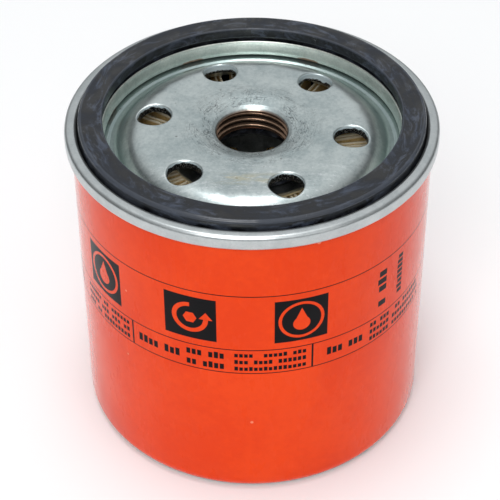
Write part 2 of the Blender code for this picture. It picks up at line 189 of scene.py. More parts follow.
def build_studio():
    """Floor, sky and soft boxes."""
    corners = [(-1, -1), (1, -1), (1, 1), (-1, 1)]
    mesh = bpy.data.meshes.new("floor")
    mesh.from_pydata([(x * FLOOR_HALF, y * FLOOR_HALF, 0.0) for x, y in corners], [], [(0, 1, 2, 3)])
    floor = bpy.data.objects.new("floor", mesh)
    bpy.context.scene.collection.objects.link(floor)
    floor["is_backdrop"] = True
    paper = bpy.data.materials.new("sweep_paper")
    paper.use_nodes = True
    shader = paper.node_tree.nodes["Principled BSDF"]
    shader.inputs["Base Color"].default_value = PAPER_WHITE
    shader.inputs["Roughness"].default_value = 0.9
    floor.data.materials.append(paper)

    bpy.context.scene.world = studio_sky()
    bpy.context.scene.view_settings.view_transform = "Standard"

    for box in SOFT_BOXES:
        soft_box(*box)
    print(f"studio with {len(SOFT_BOXES)} soft boxes")


build_studio()

# %% [markdown]
# ## Surfaces from profiles
# Most of a filter is turned or drawn, so most pieces are a profile carried round the axis. A profile
# is given by its corners, each with a fillet radius. The same helper rounds them all, and another
# gives a pressed sheet its thickness. While the surface is made, how sharply the profile bends is
# kept on the mesh as an attribute: materials read it to wear outer edges, on the gasket partly as a
# painted highlight, and to darken inner ones with painted shade.

# %% Profile helpers
ARC_STEPS = 7


def filleted(corners, closed=False, steps=ARC_STEPS):
    """Round the corners (r, z, fillet) of a path. Each fillet is an arc tangent to both sides:
    it starts at fillet / tan(half the corner's angle) from the corner, on either side."""
    pts = np.array(corners, float)
    count = len(pts)
    path = []
    for i in range(count):
        here, radius = pts[i, :2], pts[i, 2]
        if radius <= 0 or (not closed and i in (0, count - 1)):
            path.append(here[None])
            continue
        to_prev = pts[i - 1, :2] - here
        to_next = pts[(i + 1) % count, :2] - here
        to_prev /= np.linalg.norm(to_prev)
        to_next /= np.linalg.norm(to_next)
        half = math.acos(np.clip(to_prev @ to_next, -1, 1)) / 2.0
        bisector = (to_prev + to_next) / np.linalg.norm(to_prev + to_next)
        centre = here + bisector * radius / math.sin(half)
        first = here + to_prev * radius / math.tan(half) - centre
        last = here + to_next * radius / math.tan(half) - centre
        a0 = math.atan2(first[1], first[0])
        sweep = (math.atan2(last[1], last[0]) - a0 + math.pi) % math.tau - math.pi
        angle = a0 + sweep * np.linspace(0, 1, steps + 1)
        path.append(centre + radius * np.stack([np.cos(angle), np.sin(angle)], 1))
    return np.concatenate(path)


def divided(path, longest):
    """Split the path's long straight runs, so that no piece of it is longer than `longest`."""
    out = [path[:1]]
    for a, b in zip(path[:-1], path[1:]):
        parts = max(1, math.ceil(np.linalg.norm(b - a) / longest))
        out.append(a + (b - a) * np.linspace(0, 1, parts + 1)[1:, None])
    return np.concatenate(out)


def side_normals(path, closed=False):
    """Unit normals to the left of the path, from the mean direction at each point."""
    if closed:
        along = np.roll(path, -1, 0) - np.roll(path, 1, 0)
    else:
        along = np.gradient(path, axis=0)
    along /= np.linalg.norm(along, axis=1, keepdims=True) + 1e-12
    return np.stack([-along[:, 1], along[:, 0]], 1)


def pressed(path, wall):
    """Closed section of a sheet: the path, a half-round edge, the path moved behind itself by the
    wall's thickness, and a half-round edge again. An end on the axis stays square."""
    behind = path - side_normals(path) * wall
    if path[-1, 0] < 1e-9:
        behind[-1, 0] = 0.0
    section = [path]
    turn = np.linspace(0, math.pi, 6)[1:-1, None]
    if path[-1, 0] > 1e-9:
        forward = path[-1] - path[-2]
        forward = forward / np.linalg.norm(forward) * wall / 2.0
        half_wall = (path[-1] - behind[-1]) / 2.0
        middle = (path[-1] + behind[-1]) / 2.0
        section.append(middle + half_wall * np.cos(turn) + forward * np.sin(turn))
    section.append(behind[::-1])
    if path[0, 0] > 1e-9:
        backward = path[0] - path[1]
        backward = backward / np.linalg.norm(backward) * wall / 2.0
        half_wall = (behind[0] - path[0]) / 2.0
        middle = (path[0] + behind[0]) / 2.0
        section.append(middle + half_wall * np.cos(turn) + backward * np.sin(turn))
    return np.concatenate(section)


def bend_of(section):
    """How sharply a closed section turns at each point, in turns per millimetre, + when convex."""
    before = section - np.roll(section, 1, 0)
    after = np.roll(section, -1, 0) - section
    cross = before[:, 0] * after[:, 1] - before[:, 1] * after[:, 0]
    angle = np.arctan2(cross, (before * after).sum(1))
    length = (np.linalg.norm(before, axis=1) + np.linalg.norm(after, axis=1)) / 2.0 + 1e-9
    return -angle / np.maximum(length, 0.03 * MM) * MM


print("profile helpers ready")

# %% [markdown]
# ## Meshes from grids
# A surface is a grid of points: one direction runs along the section and the other round the axis.
# Whole arrays go into the mesh at once. Points that fall together, at a pole or a seam, are merged.

# %% Mesh helpers
ROUND = 256


def mesh_from(name, points, quads, smooth_angle=40.0, **attributes):
    """Make one mesh object from an (n, 3) array and an (m, 4) array. Extra arrays, one number for
    each point, become attributes with their own names."""
    mesh = bpy.data.meshes.new(name)
    mesh.vertices.add(len(points))
    mesh.vertices.foreach_set("co", points.astype(np.float32).ravel())
    mesh.loops.add(quads.size)
    mesh.loops.foreach_set("vertex_index", quads.astype(np.int32).ravel())
    mesh.polygons.add(len(quads))
    mesh.polygons.foreach_set("loop_start", np.arange(0, quads.size, 4, dtype=np.int32))
    for key, values in attributes.items():
        layer = mesh.attributes.new(key, "FLOAT", "POINT")
        layer.data.foreach_set("value", values.astype(np.float32))
    mesh.update(calc_edges=True)
    mesh.validate()
    welded = bpy.data.meshes.new(name)
    work = bmesh.new()
    work.from_mesh(mesh)
    bmesh.ops.remove_doubles(work, verts=work.verts, dist=2e-7)
    bmesh.ops.dissolve_degenerate(work, edges=work.edges, dist=1e-8)
    bmesh.ops.delete(work, geom=[edge for edge in work.edges if not edge.link_faces], context="EDGES")
    work.to_mesh(welded)
    work.free()
    bpy.data.meshes.remove(mesh)
    welded.shade_smooth()
    welded.set_sharp_from_angle(angle=math.radians(smooth_angle))
    obj = bpy.data.objects.new(name, welded)
    bpy.context.scene.collection.objects.link(obj)
    return obj


def grid_quads(rows, columns, wrap_rows, wrap_columns):
    """Corner numbers of the quads of a grid stored row by row."""
    row = np.arange(rows if wrap_rows else rows - 1)[:, None]
    column = np.arange(columns if wrap_columns else columns - 1)[None, :]
    next_row = (row + 1) % rows
    next_column = (column + 1) % columns
    corners = [row * columns + column, next_row * columns + column,
               next_row * columns + next_column, row * columns + next_column]
    return np.stack([corner.ravel() for corner in corners], 1)


def turned(name, section, around=ROUND, ripple=None):
    """Carry a closed section round the axis: x = r cos a, y = r sin a, z = z. The section runs down
    its outer side. `ripple(angle, r, z)` may move points by a small (dr, dz)."""
    on_axis = np.flatnonzero(section[:, 0] < 1e-9)
    if len(on_axis):
        section = np.roll(section, -on_axis[-1], 0)
    bend = bend_of(section)
    angle = np.arange(around) * math.tau / around
    r = np.repeat(section[:, :1], around, 1)
    z = np.repeat(section[:, 1:2], around, 1)
    if ripple:
        dr, dz = ripple(angle[None, :], r, z)
        r, z = r + dr, z + dz
    points = np.stack([r * np.cos(angle), r * np.sin(angle), z], 2).reshape(-1, 3)
    quads = grid_quads(len(section), around, len(on_axis) == 0, True)
    bend = np.repeat(bend, around)
    return mesh_from(name, points, quads, edge=np.clip(bend, 0, 2), crease=np.clip(-bend, 0, 2))


def dress(piece, node, body, material):
    """The piece stands for a CAD node, rides on its body and takes its finish from its slot."""
    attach(piece, body)
    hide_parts(node)
    piece.data.materials.append(material)
    print(f"{piece.name}: {len(piece.data.polygons)} faces")
    return piece


# %% [markdown]
# ## A short way to write shader nodes
# Node trees are long to write by hand. This small class adds a node, sets what is a number and links
# what is a socket. Positions are read as Object coordinates and scaled to millimetres, so every
# pattern's size below is a size on the real filter.

# %% Shader helper


class Nodes:
    """Adds nodes to one tree. Any argument may be a number or another node's output."""

    def __init__(self, tree):
        self.tree = tree
        self.made = {}

    def add(self, kind, values=None, **settings):
        made = self.tree.nodes.new(kind)
        for key, value in settings.items():
            setattr(made, key, value)
        for key, value in (values or {}).items():
            self.put(made.inputs[key], value)
        return made

    def put(self, socket, value):
        if isinstance(value, bpy.types.NodeSocket):
            self.tree.links.new(value, socket)
        elif isinstance(value, (tuple, list)) and socket.type == "RGBA":
            socket.default_value = (*value, 1.0)[:4]
        else:
            socket.default_value = value

    def math(self, operation, *values, clamp=False):
        made = self.add("ShaderNodeMath", operation=operation, use_clamp=clamp)
        for socket, value in zip(made.inputs, values):
            self.put(socket, value)
        return made.outputs[0]

    def mm(self):
        """Object coordinates in millimetres."""
        if "mm" not in self.made:
            place = self.add("ShaderNodeTexCoord").outputs["Object"]
            scaled = self.add("ShaderNodeVectorMath", {0: place, "Scale": 1000.0},
                              operation="SCALE")
            self.made["mm"] = scaled.outputs[0]
        return self.made["mm"]

    def xyz(self):
        if "xyz" not in self.made:
            self.made["xyz"] = self.add("ShaderNodeSeparateXYZ", {0: self.mm()}).outputs
        return self.made["xyz"]

    def radius(self):
        """Distance from the filter's axis, in millimetres."""
        if "radius" not in self.made:
            x, y, _ = self.xyz()
            square = self.math("ADD", self.math("MULTIPLY", x, x), self.math("MULTIPLY", y, y))
            self.made["radius"] = self.math("SQRT", square)
        return self.made["radius"]

    def angle(self):
        """Angle round the axis in radians, 0 at the front and + to the right."""
        if "angle" not in self.made:
            x, y, _ = self.xyz()
            self.made["angle"] = self.math("ARCTAN2", x, self.math("MULTIPLY", y, -1.0))
        return self.made["angle"]

    def vector(self, x, y, z=0.0):
        return self.add("ShaderNodeCombineXYZ", {0: x, 1: y, 2: z}).outputs[0]

    def noise(self, scale, detail=3.0, rough=0.55, where=None, distort=0.0):
        """Cloudy noise from 0 to 1. The scale is in features for each millimetre."""
        values = {"Vector": where or self.mm(), "Scale": scale, "Detail": detail,
                  "Roughness": rough, "Distortion": distort}
        return self.add("ShaderNodeTexNoise", values).outputs[0]

    def ramp(self, value, low, high, to_low=0.0, to_high=1.0):
        """Map low..high to to_low..to_high, clamped and smooth."""
        values = {"Value": value, "From Min": low, "From Max": high,
                  "To Min": to_low, "To Max": to_high}
        return self.add("ShaderNodeMapRange", values, interpolation_type="SMOOTHSTEP").outputs[0]

    def blend(self, mask, first, second, mode="MIX"):
        """Colour: first where the mask is 0 and second where it is 1."""
        made = self.add("ShaderNodeMix", data_type="RGBA", blend_type=mode)
        self.put(made.inputs[0], mask)
        self.put(made.inputs[6], first)
        self.put(made.inputs[7], second)
        return made.outputs[2]

    def attribute(self, name):
        return self.add("ShaderNodeAttribute", attribute_name=name).outputs["Fac"]

    def bump(self, height, distance_mm, strength=1.0):
        values = {"Height": height, "Distance": distance_mm * MM, "Strength": strength}
        return self.add("ShaderNodeBump", values).outputs[0]

    def group(self, group, **values):
        made = self.add("ShaderNodeGroup")
        made.node_tree = group
        for key, value in values.items():
            self.put(made.inputs[key], value)
        return made


def new_group(name, inputs, outputs):
    """An empty shader group. Inputs are {name: default}; outputs are {name: socket type}."""
    tree = bpy.data.node_groups.new(name, "ShaderNodeTree")
    for key, default in inputs.items():
        vector = default is None
        kind = "NodeSocketVector" if vector else "NodeSocketFloat"
        socket = tree.interface.new_socket(key, in_out="INPUT", socket_type=kind)
        if not vector:
            socket.default_value = default
    for key, kind in outputs.items():
        tree.interface.new_socket(key, in_out="OUTPUT", socket_type=kind)
    nodes = Nodes(tree)
    start = nodes.add("NodeGroupInput")
    end = nodes.add("NodeGroupOutput")
    return nodes, start.outputs, end.inputs


def new_material(name):
    """A material, its node helper and its Principled shader."""
    material = bpy.data.materials.new(name)
    material.use_nodes = True
    shader = material.node_tree.nodes["Principled BSDF"]
    return material, Nodes(material.node_tree), shader


# %% [markdown]
# ## Shared effects
# Three effects come back in several finishes, so each is a node group: the cloudy mottling of a zinc
# or tin plating, fine scratches that run in short strokes, and a scatter of small specks.

# %% Mottle, scratches and specks


def make_mottle():
    """Value from 0 to 1: broad clouds times a finer crystal-like break-up."""
    nodes, given, out = new_group("mottle", {"Place": None, "Scale": 0.2, "Fine": 2.0},
                                  {"Value": "NodeSocketFloat"})
    broad = nodes.noise(given["Scale"], 4.0, 0.6, given["Place"], 0.4)
    fine = nodes.noise(given["Fine"], 2.0, 0.7, given["Place"])
    value = nodes.math("ADD", nodes.math("MULTIPLY", broad, 0.65), nodes.math("MULTIPLY", fine, 0.35))
    nodes.put(out["Value"], value)
    return nodes.tree


def make_scratches():
    """Mask of thin strokes: noise stretched along one axis, kept only where it crosses a level,
    and broken into short lengths by a second, coarser noise."""
    nodes, given, out = new_group("scratches", {"Place": None, "Density": 0.5, "Width": 0.02},
                                  {"Mask": "NodeSocketFloat"})
    lines = nodes.noise(1.0, 2.0, 0.5, given["Place"], 0.3)
    near = nodes.math("ABSOLUTE", nodes.math("SUBTRACT", lines, 0.5))
    stroke = nodes.math("SUBTRACT", 1.0, nodes.math("DIVIDE", near, given["Width"]), clamp=True)
    breaks = nodes.noise(0.35, 3.0, 0.6, given["Place"])
    level = nodes.math("SUBTRACT", 1.0, given["Density"])
    keep = nodes.math("MULTIPLY", nodes.math("SUBTRACT", breaks, level), 8.0, clamp=True)
    nodes.put(out["Mask"], nodes.math("MULTIPLY", stroke, keep))
    return nodes.tree


def make_specks():
    """Mask of round specks of random size: Voronoi cells cut at a small, random radius."""
    nodes, given, out = new_group("specks", {"Place": None, "Scale": 0.3, "Size": 0.06},
                                  {"Mask": "NodeSocketFloat"})
    cell = nodes.add("ShaderNodeTexVoronoi", {"Vector": given["Place"], "Scale": given["Scale"]})
    random = nodes.add("ShaderNodeSeparateColor", {0: cell.outputs["Color"]}).outputs[0]
    size = nodes.math("MULTIPLY", given["Size"], nodes.math("POWER", random, 3.0))
    inside = nodes.math("SUBTRACT", size, cell.outputs["Distance"])
    nodes.put(out["Mask"], nodes.math("MULTIPLY", inside, 60.0, clamp=True))
    return nodes.tree


MOTTLE = make_mottle()
SCRATCHES = make_scratches()
SPECKS = make_specks()
print("3 shared node groups")

# %% [markdown]
# ## Orange paint and its print
# The can is enamelled in a hot orange and printed in black: three thin lines round the can, black
# squares, and small print between the two lower lines. Here every word is replaced with plain
# blocks and every badge with a plain pictogram: a drop in a ring, and a turning arrow. The print is
# drawn by the material on the can unrolled: u is the arc length round it and v the height, in mm.

# %% Unrolled print
WALL_R = SEAM_R - 1.3 * MM
PRINT_PERIOD = math.pi * WALL_R / MM        # the print comes twice round the can
LINE_HEIGHTS = (54.95, 40.8, 34.5)          # the small print stands between the lower two
LINE_HALF = 0.11
SQUARE_HALF = 5.45
SQUARE_V = 47.95
ARROW_U = -12.7                             # the middle square; a drop square stands on each side
SQUARE_STEP = 22.33
DIVIDERS = (-26.5, 12.0, 50.4)
DIVIDER_HALF = 0.2
INK_SOFT = 0.07


def inked(nodes, depth):
    """Turn a depth inside a shape, in mm, into a mask with a slightly soft edge."""
    return nodes.math("MULTIPLY_ADD", depth, 1.0 / INK_SOFT, 0.5, clamp=True)


def off(nodes, value, middle):
    """Distance of a value from a middle."""
    return nodes.math("ABSOLUTE", nodes.math("SUBTRACT", value, middle))


def length(nodes, x, y):
    squares = nodes.math("MULTIPLY_ADD", x, x, nodes.math("MULTIPLY", y, y))
    return nodes.math("SQRT", squares)


def box_depth(nodes, u, v, middle_u, middle_v, half_u, half_v):
    across = nodes.math("SUBTRACT", half_u, off(nodes, u, middle_u))
    up = nodes.math("SUBTRACT", half_v, off(nodes, v, middle_v))
    return nodes.math("MINIMUM", across, up)


def span_mask(nodes, u, spans):
    """1 where u lies in one of the spans, read from a stepped ramp that covers the print once."""
    share = nodes.math("MULTIPLY_ADD", u, 1.0 / PRINT_PERIOD, 0.5)
    made = nodes.add("ShaderNodeValToRGB", {0: share})
    ramp = made.color_ramp
    ramp.interpolation = "CONSTANT"
    ramp.elements[0].color = (0, 0, 0, 1)
    ramp.elements[1].position = 1.0
    ramp.elements[1].color = (0, 0, 0, 1)
    for start, end in spans:
        ramp.elements.new(start / PRINT_PERIOD + 0.5).color = (1, 1, 1, 1)
        ramp.elements.new(end / PRINT_PERIOD + 0.5).color = (0, 0, 0, 1)
    return made.outputs[0]


def block_rows(nodes, u, v, spans, base, height, pitch, seed, rows=1, row_step=10.0):
    """Rows of small blocks that stand for print. A row is cut into cells, and a cell's random
    number says whether it stays empty, as between words, and how tall its block is."""
    cells = nodes.math("DIVIDE", u, pitch)
    cell = nodes.math("FLOOR", cells)
    above = nodes.math("SUBTRACT", v, base)
    row = nodes.math("FLOOR", nodes.math("DIVIDE", above, row_step))
    rise = nodes.math("FLOORED_MODULO", above, row_step)
    key = nodes.vector(cell, nodes.math("ADD", row, seed))
    random = nodes.add("ShaderNodeTexWhiteNoise", {"Vector": key}, noise_dimensions="2D").outputs[0]
    higher = nodes.math("GREATER_THAN", random, 0.6)
    tall = nodes.math("MULTIPLY_ADD", higher, height * 0.14, height * 0.86)
    from_middle = off(nodes, nodes.math("FRACT", cells), 0.5)
    side = nodes.math("MULTIPLY", nodes.math("SUBTRACT", 0.37, from_middle), pitch)
    depth = nodes.math("MINIMUM", side, nodes.math("MINIMUM", rise, nodes.math("SUBTRACT", tall, rise)))
    kept = nodes.math("MULTIPLY", nodes.math("GREATER_THAN", random, 0.14),
                      nodes.math("COMPARE", row, (rows - 1) / 2.0, rows / 2.0))
    cell_middle = nodes.math("MULTIPLY", nodes.math("ADD", cell, 0.5), pitch)
    kept = nodes.math("MULTIPLY", kept, span_mask(nodes, cell_middle, spans))
    return nodes.math("MULTIPLY", inked(nodes, depth), kept)


def drop_badge(nodes, x, y):
    """A drop in a ring. The drop is a disc with a pointed top: its half width shrinks upwards."""
    ring = nodes.math("SUBTRACT", 0.33, off(nodes, length(nodes, x, y), 4.35))
    disc = nodes.math("SUBTRACT", 1.75, length(nodes, x, nodes.math("ADD", y, 0.9)))
    width = nodes.math("MULTIPLY_ADD", y, -0.43, 1.33)
    point = nodes.math("MINIMUM", nodes.math("SUBTRACT", width, nodes.math("ABSOLUTE", x)),
                       nodes.math("ADD", y, 0.35))
    return nodes.math("MAXIMUM", ring, nodes.math("MAXIMUM", disc, point))


def arrow_badge(nodes, x, y):
    """A turning arrow: three quarters of a ring with a triangle at one end, round a small nut."""
    ring = nodes.math("SUBTRACT", 0.5, off(nodes, length(nodes, x, y), 3.3))
    open_corner = nodes.math("MAXIMUM", nodes.math("MULTIPLY", x, -1.0), nodes.math("MULTIPLY", y, -1.0))
    ring = nodes.math("MINIMUM", ring, open_corner)
    width = nodes.math("MULTIPLY_ADD", y, -0.75, 1.4)
    head = nodes.math("MINIMUM", nodes.math("SUBTRACT", width, off(nodes, x, 3.3)), y)
    tall = nodes.math("ABSOLUTE", y)
    slanted = nodes.math("MULTIPLY_ADD", nodes.math("ABSOLUTE", x), 0.866, nodes.math("MULTIPLY", tall, 0.5))
    nut = nodes.math("SUBTRACT", 1.25, nodes.math("MAXIMUM", tall, slanted))
    return nodes.math("MAXIMUM", ring, nodes.math("MAXIMUM", head, nut))


SMALL_SPANS = ((-57.0, -48.5), (-43.5, -27.6), (-4.5, 10.9), (25.0, 30.9), (32.4, 43.6))
DOUBLE_SPANS = ((-14.3, -5.7),)
SINGLE_SPANS = ((-25.4, -15.0), (13.2, 24.0))


def make_print():
    """Mask of the ink, 1 where the can is black."""
    nodes, _, out = new_group("can_print", {}, {"Ink": "NodeSocketFloat"})
    half = PRINT_PERIOD / 2.0
    u = nodes.math("WRAP", nodes.math("MULTIPLY", nodes.angle(), WALL_R / MM), half, -half)
    v = nodes.xyz()[2]

    line = nodes.math("MINIMUM", off(nodes, v, LINE_HEIGHTS[0]), off(nodes, v, LINE_HEIGHTS[1]))
    line = nodes.math("MINIMUM", line, off(nodes, v, LINE_HEIGHTS[2]))
    depth = nodes.math("SUBTRACT", LINE_HALF, line)
    band_middle = (LINE_HEIGHTS[1] + LINE_HEIGHTS[2]) / 2.0
    band_half = (LINE_HEIGHTS[1] - LINE_HEIGHTS[2]) / 2.0
    for middle in DIVIDERS:
        divider = box_depth(nodes, u, v, middle, band_middle, DIVIDER_HALF, band_half)
        depth = nodes.math("MAXIMUM", depth, divider)

    y = nodes.math("SUBTRACT", v, SQUARE_V)
    from_arrow = nodes.math("SUBTRACT", u, ARROW_U)
    square = box_depth(nodes, from_arrow, v, 0.0, SQUARE_V, SQUARE_HALF, SQUARE_HALF)
    arrow = nodes.math("MULTIPLY", arrow_badge(nodes, from_arrow, y), -1.0)
    depth = nodes.math("MAXIMUM", depth, nodes.math("MINIMUM", square, arrow))
    from_drop = nodes.math("SUBTRACT", nodes.math("ABSOLUTE", from_arrow), SQUARE_STEP)
    square = box_depth(nodes, from_drop, v, 0.0, SQUARE_V, SQUARE_HALF, SQUARE_HALF)
    drop = nodes.math("MULTIPLY", drop_badge(nodes, from_drop, y), -1.0)
    depth = nodes.math("MAXIMUM", depth, nodes.math("MINIMUM", square, drop))
    ink = inked(nodes, depth)

    upright = nodes.math("MULTIPLY", u, -1.0)
    up_the_can = ((41.9, 53.4),)
    for blocks in (
        block_rows(nodes, u, v, SMALL_SPANS, 35.2, 1.1, 0.98, 3.0, rows=3, row_step=1.83),
        block_rows(nodes, u, v, DOUBLE_SPANS, 35.3, 1.7, 1.15, 17.0, rows=2, row_step=2.8),
        block_rows(nodes, u, v, SINGLE_SPANS, 36.6, 2.0, 1.25, 31.0),
        block_rows(nodes, v, upright, up_the_can, -29.8, 2.5, 1.95, 41.0),
        block_rows(nodes, v, upright, up_the_can, -35.2, 1.8, 1.3, 54.0),
    ):
        ink = nodes.math("MAXIMUM", ink, blocks)
    nodes.put(out["Ink"], ink)
    return nodes.tree


ORANGE, ORANGE_PALE = (0.77, 0.046, 0.002), (0.84, 0.059, 0.003)
WIPED_PAINT = (0.42, 0.035, 0.012)
DUST = (0.95, 0.50, 0.32)
INK_BLACK = (0.004, 0.004, 0.005)
WORN_STEEL = (0.30, 0.29, 0.28)
BARE_INSIDE = (0.10, 0.10, 0.095)
INSIDE_FROM_Z = 2.2                         # above the panel pressed into the bottom


def make_paint_material():
    """Glossy orange enamel: slow changes of tint, dust specks, faint wipe marks, and the print. The
    inside of the can is left bare, and the foot's edge is worn through here and there."""
    material, nodes, shader = new_material("can_paint")
    ink = nodes.group(make_print()).outputs[0]
    polar = nodes.vector(nodes.math("MULTIPLY", nodes.angle(), 30.0), nodes.radius(),
                         nodes.math("MULTIPLY", nodes.xyz()[2], 0.25))
    tint = nodes.group(MOTTLE, Place=nodes.mm(), Scale=0.05, Fine=0.6).outputs[0]
    colour = nodes.blend(nodes.ramp(tint, 0.35, 0.65), ORANGE, ORANGE_PALE)
    wipes = nodes.noise(0.12, 4.0, 0.6, polar, 0.8)
    colour = nodes.blend(nodes.ramp(wipes, 0.60, 0.85, 0.0, 0.12), colour, WIPED_PAINT)
    dust = nodes.group(SPECKS, Place=nodes.mm(), Scale=0.16, Size=0.075).outputs[0]
    colour = nodes.blend(nodes.math("MULTIPLY", dust, 0.5), colour, DUST)
    colour = nodes.blend(ink, colour, INK_BLACK)
    worn = nodes.math("MULTIPLY", nodes.attribute("edge"), nodes.noise(0.9, 4.0, 0.7))
    low = nodes.ramp(nodes.xyz()[2], 1.6, 0.2)
    bare = nodes.ramp(nodes.math("MULTIPLY", worn, low), 0.05, 0.16)
    colour = nodes.blend(bare, colour, WORN_STEEL)
    inside = nodes.math("MULTIPLY", nodes.math("LESS_THAN", nodes.radius(), WALL_R / MM - 0.25),
                        nodes.math("GREATER_THAN", nodes.xyz()[2], INSIDE_FROM_Z))
    colour = nodes.blend(inside, colour, BARE_INSIDE)
    nodes.put(shader.inputs["Base Color"], colour)
    nodes.put(shader.inputs["Metallic"], nodes.math("MULTIPLY", nodes.math("MAXIMUM", bare, inside), 0.9))
    rough = nodes.ramp(nodes.noise(0.18, 5.0, 0.65, polar), 0.3, 0.75, 0.22, 0.36)
    nodes.put(shader.inputs["Roughness"], nodes.math("MULTIPLY_ADD", ink, 0.06, rough))
    shader.inputs["Specular IOR Level"].default_value = 0.05
    shader.inputs["Coat Roughness"].default_value = 0.10
    shader.inputs["Coat IOR"].default_value = 1.19
    gloss = nodes.math("MULTIPLY_ADD", ink, -0.55, nodes.ramp(tint, 0.2, 0.8, 0.75, 1.0))
    nodes.put(shader.inputs["Coat Weight"], gloss)
    peel = nodes.noise(1.6, 3.0, 0.5)
    height = nodes.math("ADD", peel, nodes.math("MULTIPLY", ink, 0.5))
    height = nodes.math("ADD", height, nodes.math("MULTIPLY", dust, 2.0))
    nodes.put(shader.inputs["Normal"], nodes.bump(height, 0.012, 0.6))
    return material


CAN_PAINT = make_paint_material()
print(f"print repeats every {PRINT_PERIOD:.1f} mm round the can")

# %% [markdown]
# ## The can
# The can is drawn from sheet half a millimetre thick. Its profile is one path down the outside:
# flared rim under the seam, wall, rounded corner, foot ring, and the panel pressed into the bottom.
# The sheet's thickness goes on behind the path.

# %% Make the can
CAN_WALL = 0.5 * MM
PANEL_R = 22.0 * MM
FOOT_R = 24.0 * MM
PANEL_RISE = 1.5 * MM


def make_can():
    can_low, can_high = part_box("can_shell")
    rim_r, rim_z = can_high.x, can_high.z
    corners = [
        (rim_r, rim_z, 0.0),
        (rim_r, rim_z - 0.6 * MM, 0.6 * MM),
        (WALL_R, rim_z - 1.5 * MM, 0.6 * MM),
        (WALL_R, can_low.z, 3.0 * MM),
        (FOOT_R, can_low.z, 1.2 * MM),
        (PANEL_R, can_low.z + PANEL_RISE, 1.2 * MM),
        (0.0, can_low.z + PANEL_RISE, 0.0),
    ]
    path = divided(filleted(corners), 6.0 * MM)
    return turned("can_body", pressed(path, CAN_WALL))


dress(make_can(), "can_shell", "housing", CAN_PAINT)

# %% [markdown]
# ## Zinc plating
# Lid and plate are steel with a thin zinc coat, blue-grey and cloudy, passivated to a faint olive
# or straw tint in places. It is nearly a metal, but rough enough to look like satin. Water that
# stood at the foot of the lid's inner wall has left a few spots of rust, each a few degrees wide.

# %% Zinc for the lid
RUST_SPOTS = (156.0, -155.0, -107.0)        # degrees round the joint, 0 at the front
RUST_HALF_WIDTH = 6.0
RUST_TOP_Z, RUST_FULL_Z = TOTAL_H / MM - 5.6, TOTAL_H / MM - 7.0
LID_DARK, LID_LIGHT = (0.42, 0.45, 0.455), (0.55, 0.575, 0.575)
# painted light: the inner wall's tones are paler than the lid's; the olive is passivation
LIT_LIP_DARK, LIT_LIP_LIGHT = (0.66, 0.72, 0.66), (0.88, 0.91, 0.84)
RUST = (0.15, 0.065, 0.022)
# painted shade: the colour laid into the lid's concave bends
CREASE_SHADE = (0.10, 0.09, 0.075)
PITTED = (0.16, 0.16, 0.15)


def make_lid_material():
    """Satin zinc, faintly olive on the inner wall and paler there as painted light, with rust low on that
    wall, painted shade in the hollows, fine pits, and marks of the rolling that run round the rim."""
    material, nodes, shader = new_material("lid_zinc")
    x, y, z = nodes.xyz()
    cloud = nodes.group(MOTTLE, Place=nodes.mm(), Scale=0.25, Fine=2.4).outputs[0]
    colour = nodes.blend(nodes.ramp(cloud, 0.3, 0.7), LID_DARK, LID_LIGHT)
    inner = nodes.ramp(nodes.radius(), 31.6, 30.9)
    # painted light: the inner wall is paler than the rest of the lid; its olive tint is the zinc's
    # passivation
    lit_olive = nodes.blend(nodes.ramp(cloud, 0.35, 0.65), LIT_LIP_DARK, LIT_LIP_LIGHT)
    colour = nodes.blend(inner, colour, lit_olive)
    unrolled = nodes.vector(nodes.math("MULTIPLY", nodes.angle(), 30.0), z)
    rust_noise = nodes.noise(0.7, 5.0, 0.7, unrolled, 0.6)
    foot = nodes.math("MULTIPLY", inner, nodes.ramp(z, RUST_TOP_Z, RUST_FULL_Z))
    edge = math.cos(math.radians(RUST_HALF_WIDTH))
    spots = 0.0
    for degrees in RUST_SPOTS:
        turned_by = nodes.math("SUBTRACT", nodes.angle(), math.radians(degrees))
        spot = nodes.ramp(nodes.math("COSINE", turned_by), edge, 1.0)
        spots = nodes.math("MAXIMUM", spot, spots)
    run_down = nodes.math("MULTIPLY", nodes.math("MULTIPLY", spots, inner), 0.14)
    place = nodes.math("MAXIMUM", nodes.math("MULTIPLY", foot, spots), run_down)
    place = nodes.math("MAXIMUM", place, nodes.math("MULTIPLY", foot, 0.12))
    rust = nodes.ramp(nodes.math("MULTIPLY", rust_noise, place), 0.05, 0.20)
    colour = nodes.blend(nodes.math("MULTIPLY", rust, 0.9), colour, RUST)
    rolled = nodes.vector(nodes.math("MULTIPLY", nodes.angle(), 5.0),
                          nodes.math("MULTIPLY", nodes.radius(), 9.0), nodes.math("MULTIPLY", z, 9.0))
    brushed = nodes.noise(1.0, 3.0, 0.6, rolled)
    # painted shade: the lid is darkened where its section bends inwards
    crease_shade = nodes.math("MULTIPLY", nodes.attribute("crease"), 0.8, clamp=True)
    colour = nodes.blend(nodes.math("MULTIPLY", crease_shade, 0.6), colour, CREASE_SHADE)
    pits = nodes.group(SPECKS, Place=nodes.mm(), Scale=0.8, Size=0.10).outputs[0]
    colour = nodes.blend(nodes.math("MULTIPLY", pits, 0.5), colour, PITTED)
    nodes.put(shader.inputs["Base Color"], colour)
    nodes.put(shader.inputs["Metallic"], nodes.ramp(rust, 0.0, 1.0, 0.92, 0.1))
    rough = nodes.math("MULTIPLY_ADD", cloud, 0.22, 0.20)
    nodes.put(shader.inputs["Roughness"], nodes.math("MULTIPLY_ADD", rust, 0.35, rough))
    height = nodes.math("ADD", brushed, nodes.math("MULTIPLY", nodes.noise(0.5, 3.0), 1.5))
    nodes.put(shader.inputs["Normal"], nodes.bump(height, 0.02, 0.5))
    return material


LID_ZINC = make_lid_material()
print("lid zinc ready")

# %% [markdown]
# ## The seaming lid
# One thin ring makes the lip that centres the gasket, the channel the gasket lies in, and the rim
# that was rolled over the can's flare. The rolled rim slopes gently, then turns over a tight
# shoulder into an upright band, and is tucked in under the flare.

